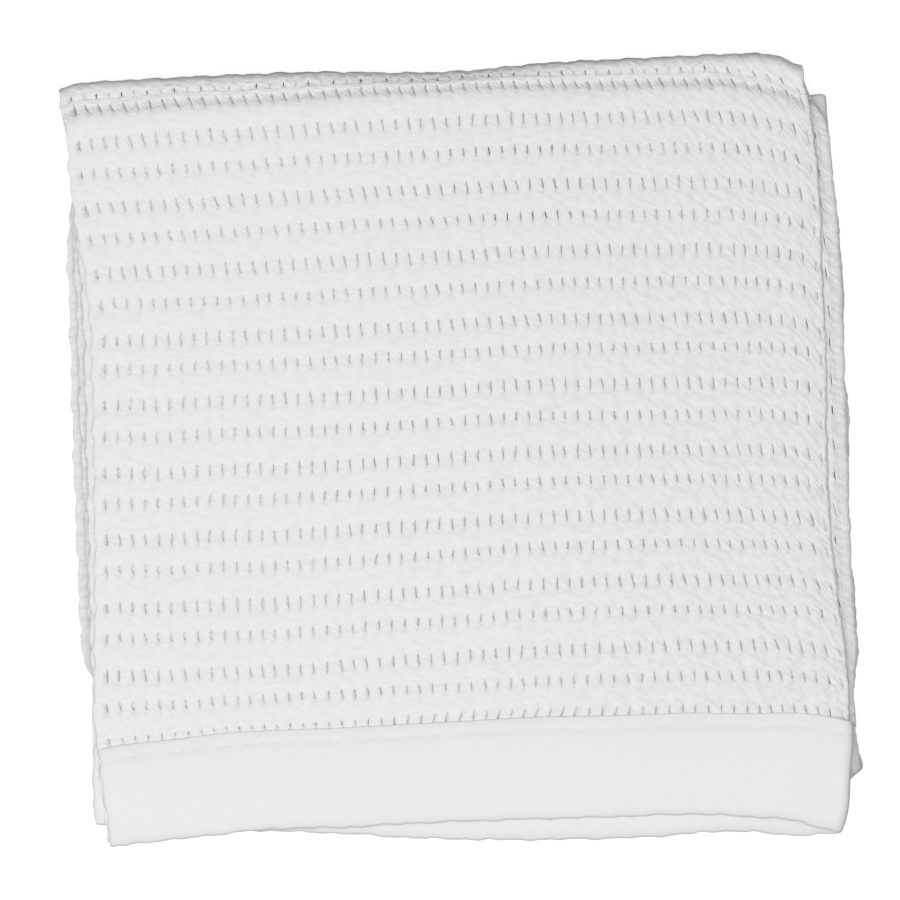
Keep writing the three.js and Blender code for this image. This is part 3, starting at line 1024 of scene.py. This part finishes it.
def chart_corners(chart, faces, shown):
    """Corner places on that map. A wall's lower corners lie inside the slit's own empty place."""
    corners, outer = chart[faces], (faces < shown)[..., None]
    if outer.any() and not outer.all():
        mean = np.nanmean(np.where(outer, corners, np.nan), axis=1, keepdims=True)
        corners = np.where(outer, corners, mean + np.array(WALL_NUDGE))
    return corners


# The bindings and their stitches.

# The seam's depth in from a leg's mouth, and the stitches on it.
SEAM_INSET = 6.4
SEAM_DEPTH = BINDING_DEPTH - SEAM_INSET
STITCH_PITCH = 3.8
COLUMN_STEP = STITCH_PITCH / 2

# Lines of a leg, in from its mouth. Those of its rounded lip have the share of its thickness that they
# reach.
LIP = [(0.0, 0.25), (0.5, 0.55), (1.4, 0.84), (2.6, 1.0)]
LEG_LINES = [3.6, 4.9, 5.7, 6.4, 7.1, 7.9, 9.2, 11.5, 14.5, 18.5, 23.0, 28.0, 33.0, 37.5, 41.0, 43.5]
SLOT_END = 2.0
LEG_THICK = 0.85
INNER_HALF = BINDING_HALF - LEG_THICK
MOUTH_FALL = 0.3
HEM_STEPS = 6

# Lines at a binding's ends, in from a selvedge, with the share of its height there. It is full further in.
END_LINES = [(0.0, 0.14), (0.35, 0.66), (1.1, 0.93)]
FULL_FROM = 3.0


def ripples(a, depth):
    """Soft unevenness of a binding's face, in sines: short puckers that fade from the seam, and long
    ripples."""
    from_seam = np.abs(depth - SEAM_DEPTH)
    short = np.sin(a / 1.55 + 1.3 * np.sin(a / 17)) * np.sin(a / 29 + 1)
    long = np.sin(a / 7.3 + 0.9 * np.sin(a / 41) + depth / 19) + 0.7 * np.sin(a / 15.1 - depth / 23 + 2)
    wide = np.sin(a / 33 + depth / 31 + 0.5)
    patch = 0.55 + 0.45 * np.sin(a / 61 + 0.8)
    body = smooth(depth / 9)
    return 0.07 * short * np.exp(-((from_seam / 7.5) ** 2)) + body * (0.09 * long * patch + 0.2 * wide)


def binding_face(a, depth):
    """The offset of a binding's outer face: full, flatter towards its mouth, drawn in at the seam.

    Depths are those of a leg BINDING_DEPTH deep, and are stretched to each leg's own mouth afterwards.
    """
    from_seam = depth - SEAM_DEPTH
    flat = MOUTH_FALL * (1 - smooth((BINDING_DEPTH - depth) / 12))
    groove = 0.1 * np.exp(-((from_seam / 1.2) ** 2))
    along_seam = (0.5 + 0.5 * np.cos(2 * math.pi * a / STITCH_PITCH)) ** 2
    holes = 0.2 * np.exp(-((from_seam / 0.9) ** 2)) * along_seam
    return BINDING_HALF - flat - groove - holes + ripples(a, depth)


def binding_places(a, depth, front, way):
    """Places across and along the cloth for a depth in from a hem, stretched to the mouth of its leg. way
    is 1 on the outer leg and -1 on the one inside the fold."""
    mouth = mouth_depth(a, 0 if front and way > 0 else CLOTH_LENGTH)
    depth = depth * mix(1, mouth / BINDING_DEPTH, smooth(depth / BINDING_DEPTH))
    depth = depth - 0.6 * fray(a + 9) * (1 - smooth(depth / 7)) + 0.25
    near = np.minimum(a, CLOTH_WIDTH - a)
    wander = fray(depth + 70) * np.exp(-near / 1.2)
    a = np.where(a < CLOTH_WIDTH / 2, a - wander, a + wander)
    return a, (depth if front else CLOTH_LENGTH - depth)


def binding_piece(name, front, finish):
    """One binding: a strip folded over the cloth's end, with an outer and an inner skin.

    Its section runs from the mouth of one leg to the hem, half round it and back to the mouth of the other
    leg. At both selvedges the outer skin closes.
    """
    ends, shares = np.array(END_LINES).T
    columns = np.arange(2 * COLUMN_STEP, CLOTH_WIDTH - 2 * COLUMN_STEP, COLUMN_STEP)
    a = np.concatenate([ends, columns, CLOTH_WIDTH - ends[::-1]])
    close = np.interp(np.minimum(a, CLOTH_WIDTH - a), [*ends, FULL_FROM], [*shares, 1.0])
    lines = [(step, share, 0.4 * step) for step, share in LIP] + [(line, 1.0, line) for line in LEG_LINES]

    def leg(way, step, share, inner_step):
        face = binding_face(a, np.full_like(a, BINDING_DEPTH - step))
        outer_off = way * (INNER_HALF + (face - INNER_HALF) * share)
        return way, BINDING_DEPTH - step, outer_off, BINDING_DEPTH - inner_step, way * INNER_HALF

    def hem(angle):
        face = binding_face(a, np.full_like(a, SLOT_END))
        outer_depth = SLOT_END - SLOT_END * math.cos(angle)
        return 1, outer_depth, face * math.sin(angle), SLOT_END, INNER_HALF * math.sin(angle)

    angles = [math.pi * (0.5 - step / HEM_STEPS) for step in range(1, HEM_STEPS)]
    stations = [leg(1, *line) for line in lines] + [hem(angle) for angle in angles]
    stations += [leg(-1, *line) for line in reversed(lines)]
    outer_points, inner_points = [], []
    for way, outer_depth, outer_off, inner_depth, inner_off in stations:
        outer_points.append(laid_points(*binding_places(a, outer_depth, front, way), outer_off * close))
        inner_points.append(laid_points(*binding_places(a, inner_depth, front, way), inner_off * close * 0.9))
    points = np.array([outer_points, inner_points])
    o, i = np.arange(points.size // 3).reshape(points.shape[:3])

    def strip(p, q, flip):
        return quads(p[:-1], p[1:], q[1:], q[:-1], flip=flip)

    back = not front
    groups = [
        grid(o, not back),
        grid(i, back),
        strip(o[0], i[0], back),
        strip(o[-1], i[-1], not back),
        strip(o[:, 0], i[:, 0], not back),
        strip(o[:, -1], i[:, -1], back),
    ]
    flat_a, run = np.broadcast_arrays(a, np.linspace(0, 1, len(stations))[:, None])
    weave = np.stack([flat_a, 2 * BINDING_DEPTH * run], -1).reshape(-1, 2)
    chart = weave / [CLOTH_WIDTH, 2 * BINDING_DEPTH]
    weave = np.concatenate([weave, weave])
    chart = np.concatenate([chart * [1, 0.6], chart * [1, 0.38] + [0, 0.62]])
    chart = CHART_EDGE + (1 - 2 * CHART_EDGE) * chart
    maps = {"weave": [weave[g] for g in groups], "OFBake": [chart[g] for g in groups]}
    return put_mesh(name, points.reshape(-1, 3), groups, maps, finish)


# One stitch: its length as a share of the pitch, its rings along it with their girth, how deep its ends
# dive and how far its middle rises from there, its slant, and how far stitches stray from the seam.
STITCH_SHARE = 0.84
STITCH_RINGS = np.array([-0.5, -0.36, -0.12, 0.12, 0.36, 0.5])
STITCH_GIRTH = np.array([0.55, 1.0, 1.0, 1.0, 1.0, 0.55])
STITCH_SIDES = 6
STITCH_DIVE = 0.45
STITCH_RISE = 0.55
STITCH_SLANT = 0.1
STITCH_STRAY = 0.07
STITCH_SEED = 11


def stitch_piece(name, front, thread, finish):
    """One line of lock stitches on both faces of a binding.

    Each stitch is a thread of six sides along the seam. It rises from one hole, lies on the cloth and dives
    into the next: height = rise * (1 - |2t|^3) less the dive, for t from -1/2 to 1/2.
    """
    radius = thread / MM / 2 * STITCH_GIRTH[:, None]
    count = int((CLOTH_WIDTH - 3 * STITCH_PITCH) / STITCH_PITCH)
    middle = STITCH_PITCH * (np.arange(count) + 1.5)
    sway = np.random.default_rng(STITCH_SEED).normal(0, STITCH_STRAY, count)
    angle = 2 * math.pi * np.arange(STITCH_SIDES) / STITCH_SIDES
    a = middle[:, None] + STITCH_SHARE * STITCH_PITCH * STITCH_RINGS
    a = a[..., None] + np.zeros(STITCH_SIDES)
    lift = STITCH_RISE * (1 - (2 * np.abs(STITCH_RINGS)) ** 3) - STITCH_DIVE
    depth = SEAM_DEPTH + sway[:, None, None] + STITCH_SLANT * STITCH_RINGS[:, None] + radius * np.cos(angle)
    height = binding_face(a, np.full_like(a, SEAM_DEPTH)) + lift[:, None] + radius * np.sin(angle)
    groups, points = [], []
    for turn, way in enumerate((1, -1)):
        points.append(laid_points(*binding_places(a, depth, front, way), way * height).reshape(-1, 3))
        at = (turn * a.size + np.arange(a.size)).reshape(a.shape)
        beside = np.roll(at, -1, axis=2)
        flip = (way > 0) != front
        groups.append(quads(at[:, :-1], at[:, 1:], beside[:, 1:], beside[:, :-1], flip=flip))
        for cap in (at[:, 0], at[:, -1, ::-1]):
            groups.append(cap[:, ::-1] if flip else cap)
    return put_mesh(name, np.concatenate(points), groups, {}, finish)


# Finishes.

class Shade:
    """A value in one material's nodes, so that sums on it can be written as Python expressions."""

    def __init__(self, nodes, socket):
        self.nodes = nodes
        self.socket = socket

    def math(self, operation, *others):
        return self.nodes.make("ShaderNodeMath", {"operation": operation}, dict(enumerate((self, *others))))

    def __add__(self, other):
        return self.math("ADD", other)

    def __mul__(self, other):
        return self.math("MULTIPLY", other)

    def __sub__(self, other):
        return self.math("SUBTRACT", other)

    def __rsub__(self, other):
        return self.nodes.make("ShaderNodeMath", {"operation": "SUBTRACT"}, {0: other, 1: self})

    def sine(self):
        return self.math("SINE")

    def fraction(self):
        return self.math("FRACT")

    def size(self):
        return self.math("ABSOLUTE")

    def ramp(self, low, high):
        """0 at low to 1 at high, with level ends."""
        settings = {"interpolation_type": "SMOOTHSTEP"}
        return self.nodes.make("ShaderNodeMapRange", settings, {"Value": self, 1: low, 2: high})


class Nodes:
    """The node tree of one material, with a Principled surface."""

    def __init__(self, name):
        self.material = bpy.data.materials.new(name)
        self.material.use_nodes = True
        self.tree = self.material.node_tree
        self.surface = next(n for n in self.tree.nodes if n.type == "BSDF_PRINCIPLED")

    def make(self, kind, settings=None, inputs=None, output=0):
        """A node of any kind: its settings first, then the values or links of its sockets. Gives one
        output."""
        node = self.tree.nodes.new(kind)
        for name, value in (settings or {}).items():
            setattr(node, name, value)
        for key, value in (inputs or {}).items():
            self.feed(node.inputs[key], value)
        return Shade(self, node.outputs[output])

    def parts(self, vector):
        """The three numbers of a vector."""
        node = self.tree.nodes.new("ShaderNodeSeparateXYZ")
        self.feed(node.inputs[0], vector)
        return [Shade(self, socket) for socket in node.outputs]

    def feed(self, socket, value):
        """Links a value of the nodes to a socket, or sets a number or colour there."""
        if isinstance(value, Shade):
            self.tree.links.new(value.socket, socket)
        else:
            socket.default_value = value

    def finish(self, **sockets):
        """Sets the surface's sockets by name, with spaces for underscores."""
        for name, value in sockets.items():
            self.feed(self.surface.inputs[name.replace("_", " ")], value)
        return self.material

    def weave_map(self):
        """Places on the flat cloth: cells across and rows along, or millimetres on a binding."""
        return self.parts(self.make("ShaderNodeUVMap", {"uv_map": "weave"}))[:2]

    def noise(self, scale, detail=3.0, vector=None, roughness=0.6):
        """Noise from 0 to 1 with features of about 1/scale metres, at Object coordinates or those of a
        vector."""
        if vector is None:
            vector = self.make("ShaderNodeTexCoord", output="Object")
        inputs = {"Vector": vector, "Scale": scale, "Detail": detail, "Roughness": roughness}
        return self.make("ShaderNodeTexNoise", None, inputs)

    def strokes(self, across, along, slope, wobble):
        """Noise drawn out into strokes about 6 mm long and 2.3 mm wide, that fall to the right by an
        angle."""
        right = across * (CELL_PITCH * MM)
        up = along * (ROW_PITCH * MM)
        along_stroke = (right * math.cos(slope) - up * math.sin(slope)) * STROKES_LONG
        over_stroke = (right * math.sin(slope) + up * math.cos(slope)) * STROKES_WIDE + wobble * 1.2
        place = self.make("ShaderNodeCombineXYZ", None, {0: along_stroke, 1: over_stroke})
        return self.noise(1.0, 0.0, place)

    def bump(self, height, distance, strength):
        """A normal turned by a height from 0 to 1 over a distance."""
        inputs = {"Height": height, "Distance": distance, "Strength": strength}
        return self.make("ShaderNodeBump", None, inputs)

    def blend(self, share, first, second):
        """A colour between two, by a share."""
        settings = {"data_type": "RGBA"}
        return self.make("ShaderNodeMix", settings, {"Factor": share, 6: first, 7: second}, output=2)

    def tint(self, share, darkest, colour):
        """A colour, and a darker one by a factor where a share is 0."""
        return self.blend(share, tuple(darkest * c for c in colour[:3]) + (1,), colour)


TAU = 2 * math.pi
WARPS_IN_CELL = 4
WEFTS_IN_ROW = 12
STROKES_LONG = 170
STROKES_WIDE = 430
FLAT_FALL, STEEP_FALL = math.radians(12), math.radians(38)
REAR_COUNT = len(TOP_ROWS) - 3
THREAD_PITCH = 0.42


def cellular_finish(looks):
    """White leno cotton: plies of soft yarn, crossed in the bands and twisted together in the bars between
    slits.

    Soft strokes run down to the right over it, flat at the selvedges and steeper and deeper towards the
    fold. The colour is painted shade: darker where the strokes, and a little where the lumps and fibres,
    lie low in the bump, most towards the fold and on the rows of the rear fold.
    """
    nodes = Nodes("cellular_cotton")
    across, along = nodes.weave_map()
    x = nodes.parts(nodes.make("ShaderNodeTexCoord", output="Object"))[0]
    to_fold = x.ramp(-0.08, 0.18)
    deep = to_fold.math("MAXIMUM", along.ramp(REAR_COUNT + 0.5, REAR_COUNT + 1.5))
    wobble = nodes.noise(160, 2) - 0.5
    fibres = nodes.noise(2600, 3, roughness=0.7)
    lumps = nodes.noise(460, 2)
    row = ((along + 0.5).fraction() - 0.5).size()
    band = row.ramp(0.16, 0.27)
    weft = ((along * WEFTS_IN_ROW + wobble * 1.6) * TAU).sine()
    warp = ((across * WARPS_IN_CELL + wobble * 1.2) * TAU).sine()
    crossed = weft * 0.5 + warp * 0.35 + weft * warp * 0.4
    twist = ((across * 2 + along * 5.5 + wobble * 1.5) * TAU).sine()
    flat, steep = (nodes.strokes(across, along, fall, wobble) for fall in (FLAT_FALL, STEEP_FALL))
    stroke = flat + (steep - flat) * to_fold
    yarn = band * crossed * 0.1 + (1 - band) * twist * 0.12
    height = yarn + lumps * 0.55 + fibres * 0.25 + stroke * (deep * 1.0 + 0.45)
    normal = nodes.bump(height, looks.yarn_relief, 0.9)
    # Painted shade: the cloth's colour darkens in the low places of the strokes, lumps and fibres of the
    # bump.
    shade = stroke.ramp(0.28, 0.62) * 0.5 + lumps.ramp(0.3, 0.7) * 0.3 + fibres.ramp(0.3, 0.7) * 0.2
    share = 1 - (1 - shade) * (deep * 0.55 + 0.45)
    return nodes.finish(
        Base_Color=nodes.tint(share, 0.86, looks.cloth_colour),
        Roughness=0.95,
        Normal=normal,
        Specular_IOR_Level=0.15,
        Sheen_Weight=0.1,
        Sheen_Roughness=0.6,
    )


def binding_finish(looks):
    """Smooth white plain-weave cotton: fine threads both ways, with slubs."""
    nodes = Nodes("plain_weave_cotton")
    across, along = nodes.weave_map()
    wobble = nodes.noise(240, 2) - 0.5
    warp, weft = (((way * (1 / THREAD_PITCH) + wobble * 0.8) * TAU).sine() for way in (across, along))
    fibres = nodes.noise(3800, 3, roughness=0.7)
    lumps = nodes.noise(300, 2)
    height = warp * weft * 0.45 + fibres * 0.8 + lumps * 0.9
    normal = nodes.bump(height, looks.yarn_relief * 0.12, 0.7)
    shade = (lumps * 0.5 + fibres * 0.5).ramp(0.3, 0.7)
    return nodes.finish(
        Base_Color=nodes.tint(shade, 0.97, looks.binding_colour),
        Roughness=0.9,
        Normal=normal,
        Specular_IOR_Level=0.2,
        Sheen_Weight=0.25,
        Sheen_Roughness=0.5,
    )


def thread_finish(looks):
    """White sewing thread, twisted fine."""
    nodes = Nodes("sewing_thread")
    fibres = nodes.noise(6000, 2)
    colour = nodes.tint(fibres, 0.95, looks.thread_colour)
    normal = nodes.bump(fibres, 0.00005, 0.5)
    return nodes.finish(Base_Color=colour, Roughness=0.6, Normal=normal, Specular_IOR_Level=0.3)


# How far out from the middle the floor begins to glow, and where it glows in full, in metres.
GLOW_FROM, GLOW_TO = 0.148, 0.156


def floor_finish(studio):
    """A plain white surface that is lit from within all round the blanket, so that it stays white there."""
    nodes = Nodes("white_floor")
    x, y, _ = nodes.parts(nodes.make("ShaderNodeTexCoord", output="Object"))
    round_blanket = x.size().math("MAXIMUM", y.size()).ramp(GLOW_FROM, GLOW_TO)
    return nodes.finish(
        Base_Color=(0.3, 0.3, 0.3, 1),
        Roughness=0.9,
        Specular_IOR_Level=0.0,
        Emission_Color=nodes.blend(round_blanket, (0, 0, 0, 1), (1, 1, 1, 1)),
        Emission_Strength=studio.floor_glow,
    )


# Settings, operators and panel.

def number(name, description, default, **more):
    """A setting with one number."""
    return bpy.props.FloatProperty(name=name, description=description, default=default, **more)


def length(name, description, default):
    """A setting in metres."""
    return number(name, description, default, unit="LENGTH")


def colour(name, description, default):
    """A colour with its opacity."""
    return bpy.props.FloatVectorProperty(
        name=name, description=description, default=default, size=4, subtype="COLOR"
    )


class ClothSettings(bpy.types.PropertyGroup):
    """Sizes of the open-cell cloth."""

    thickness: length("Thickness", "Thickness of the cloth over a band", 0.0012)
    slit_width: length("Slit width", "Widest part of a cell's opening", 0.00064)
    ridge_height: length("Band height", "Rise of the bands over the rows of slits", 0.00025)
    rim_fall: length("Rim fall", "Fall of the cloth at a slit's rim", 0.00048)
    seed: bpy.props.IntProperty(name="Seed", description="Choice of the cells' unevenness", default=7)


class LooksSettings(bpy.types.PropertyGroup):
    """Colours and surface of the cotton."""

    cloth_colour: colour("Cloth", "Colour of the cellular cloth", (0.865, 0.865, 0.862, 1))
    binding_colour: colour("Binding", "Colour of the bindings", (0.855, 0.855, 0.852, 1))
    thread_colour: colour("Thread", "Colour of the sewing thread", (0.9, 0.9, 0.9, 1))
    yarn_relief: length("Yarn relief", "Height of the yarns in the surface", 0.0004)
    thread: length("Thread diameter", "Diameter of the sewing thread", 0.00042)


class StudioSettings(bpy.types.PropertyGroup):
    """Camera and lights."""

    frame_width: length("Frame width", "Width of the picture at the cloth", 0.423)
    focal: number("Focal length", "The camera's lens in millimetres", 900.0)
    turn: number("Turn", "How far the blanket is turned in the picture", math.radians(2.5), subtype="ANGLE")
    aim: bpy.props.FloatVectorProperty(
        name="Aim", description="Point of the cloth in the picture's middle",
        default=(-0.0051, 0.0038, 0.022), size=3, subtype="TRANSLATION",
    )
    key_power: number("Key light", "Power of the key light in watts", 127.0)
    key_breadth: length("Key breadth", "Diameter of the key light", 4.6)
    fill_power: number("Fill light", "Power of the low light in watts", 11.0)
    fill_breadth: length("Fill breadth", "Diameter of the low light", 1.2)
    sky_strength: number("Surrounding light", "Strength of the even light from all round", 0.18)
    floor_glow: number("Floor glow", "Light that the floor gives off round the blanket", 0.85)


class BLANKET_OT_weave_cloth(bpy.types.Operator):
    """Makes the cellular cloth, folded, in seven pieces that part at hidden places"""

    bl_idname = "blanket.weave_cloth"
    bl_label = "Weave the cloth"

    def execute(self, context):
        sizes = context.scene.blanket_cloth
        finish = cellular_finish(context.scene.blanket_looks)
        cells = cell_unevenness(sizes)
        front_bend = TOP_LENGTH + WIDE_ARC + MIDDLE_LENGTH
        front_row = int(np.searchsorted(ROWS, front_bend - FRONT_PART_DEPTH))
        top, bottom = (0, REAR_PART_ROWS - 1), (front_row, len(ROWS) - 1)
        middle, last_cell = (REAR_PART_ROWS, front_row - 1), CELLS - 1
        fold_from, fold_to = FOLD_PART_CELLS
        parts = [
            ("top", *top, 0, SECOND_PART_CELL - 1, FINE_BARS),
            ("second", *top, SECOND_PART_CELL, last_cell, COARSE_BARS),
            ("middle_upper", *middle, fold_to, last_cell, COARSE_BARS),
            ("middle_fold", *middle, fold_from, fold_to - 1, FOLD_BARS),
            ("middle", *middle, 0, fold_from - 1, COARSE_BARS),
            ("lower", *bottom, 0, UNDERSIDE_PART_CELL - 1, COARSE_BARS),
            ("underside", *bottom, UNDERSIDE_PART_CELL, last_cell, FINE_BARS),
        ]
        woven = []
        for name, *reach in parts:
            woven.append(cloth_piece(f"cellular_cloth_{name}", cells, sizes, finish, *reach))
            settle(woven[-1][0], "cellular_cloth", CLOTH_NODE)
        return {"FINISHED"}


class BLANKET_OT_bind_ends(bpy.types.Operator):
    """Makes the binding over each end of the cloth"""

    bl_idname = "blanket.bind_ends"
    bl_label = "Bind the ends"

    def execute(self, context):
        finish = binding_finish(context.scene.blanket_looks)
        for end, under in (("front", "cellular_cloth_top"), ("back", "cellular_cloth_underside")):
            piece = binding_piece(f"binding_{end}", end == "front", finish)
            settle(piece, "binding_cloth", f"end_binding_{end}")
        return {"FINISHED"}


class BLANKET_OT_sew_bindings(bpy.types.Operator):
    """Makes the line of stitches through each binding"""

    bl_idname = "blanket.sew_bindings"
    bl_label = "Sew the bindings"

    def execute(self, context):
        looks = context.scene.blanket_looks
        finish = thread_finish(looks)
        for end in ("front", "back"):
            piece = stitch_piece(f"binding_stitches_{end}", end == "front", looks.thread, finish)
            settle(piece, "binding_cloth")
        return {"FINISHED"}


class BLANKET_OT_set_studio(bpy.types.Operator):
    """Makes the floor, the soft lights and the camera over the blanket"""

    bl_idname = "blanket.set_studio"
    bl_label = "Set the studio"

    def execute(self, context):
        studio = context.scene.blanket_studio
        make_floor(studio)
        make_lights(studio)
        make_camera(studio)
        return {"FINISHED"}


# Places of the lights and half the floor's breadth in metres, the camera's sensor in millimetres, and how
# far it sees in metres.
KEY_PLACE = (-0.8, -0.7, 3.2)
FILL_PLACE = (2.4, 0.1, 0.8)
FLOOR_REACH = 3.0
SENSOR = 36.0
CLIP_END = 50


def make_floor(studio):
    """A square surface at the blanket's underside."""
    corners = np.array([[-1, -1, 0], [1, -1, 0], [1, 1, 0], [-1, 1, 0]]) * FLOOR_REACH
    floor = put_mesh("floor", corners, [np.array([[0, 1, 2, 3]])], {}, floor_finish(studio))
    floor.visible_diffuse = False
    floor.visible_glossy = False


def make_light(name, place, power, breadth):
    """A round soft light that faces the blanket."""
    data = bpy.data.lights.new(name, "AREA")
    data.shape = "DISK"
    data.size = breadth
    data.energy = power
    light = put_object(name, data)
    light.location = place
    light.rotation_euler = (-Vector(place)).to_track_quat("-Z", "Y").to_euler()


def make_lights(studio):
    """A broad light overhead, a little to the front left, a low one to the right, and an even light all
    round."""
    world = bpy.data.worlds.new("studio")
    world.use_nodes = True
    background = next(n for n in world.node_tree.nodes if n.type == "BACKGROUND")
    background.inputs["Color"].default_value = (1, 1, 1, 1)
    background.inputs["Strength"].default_value = studio.sky_strength
    bpy.context.scene.world = world
    make_light("key", KEY_PLACE, studio.key_power, studio.key_breadth)
    make_light("fill", FILL_PLACE, studio.fill_power, studio.fill_breadth)


def make_camera(studio):
    """A long lens straight above, turned so that the blanket lies a little turned in the picture."""
    data = bpy.data.cameras.new("camera")
    data.lens = studio.focal
    data.sensor_width = SENSOR
    data.clip_end = CLIP_END
    camera = put_object("camera", data)
    distance = studio.frame_width * studio.focal / data.sensor_width
    camera.location = Vector(studio.aim) + Vector((0, 0, distance))
    camera.rotation_euler = Euler((0, 0, -studio.turn))
    bpy.context.scene.camera = camera
    bpy.context.scene.view_settings.view_transform = "Standard"


class BLANKET_PT_panel(bpy.types.Panel):
    """The blanket's sizes and steps"""

    bl_idname = "BLANKET_PT_panel"
    bl_label = "Cellular blanket"
    bl_space_type = "VIEW_3D"
    bl_region_type = "UI"
    bl_category = "Blanket"

    def draw(self, context):
        scene = context.scene
        for group, operators in PANEL_ROWS:
            box = self.layout.box()
            settings = getattr(scene, group)
            for name in settings.__annotations__:
                box.prop(settings, name)
            for operator in operators:
                box.operator(operator)


PANEL_ROWS = (
    ("blanket_cloth", ("blanket.weave_cloth",)),
    ("blanket_looks", ("blanket.bind_ends", "blanket.sew_bindings")),
    ("blanket_studio", ("blanket.set_studio",)),
)
GROUPS = {
    "blanket_cloth": ClothSettings,
    "blanket_looks": LooksSettings,
    "blanket_studio": StudioSettings,
}
CLASSES = (
    *GROUPS.values(),
    BLANKET_OT_weave_cloth,
    BLANKET_OT_bind_ends,
    BLANKET_OT_sew_bindings,
    BLANKET_OT_set_studio,
    BLANKET_PT_panel,
)


def register():
    for cls in CLASSES:
        bpy.utils.register_class(cls)
    for name, group in GROUPS.items():
        setattr(bpy.types.Scene, name, bpy.props.PointerProperty(type=group))


def unregister():
    for name in GROUPS:
        delattr(bpy.types.Scene, name)
    for cls in reversed(CLASSES):
        bpy.utils.unregister_class(cls)


def main():
    """Makes the blanket and its studio."""
    register()
    bpy.ops.blanket.weave_cloth()
    bpy.ops.blanket.bind_ends()
    bpy.ops.blanket.sew_bindings()
    bpy.ops.blanket.set_studio()


if __name__ == "__main__":
    main()
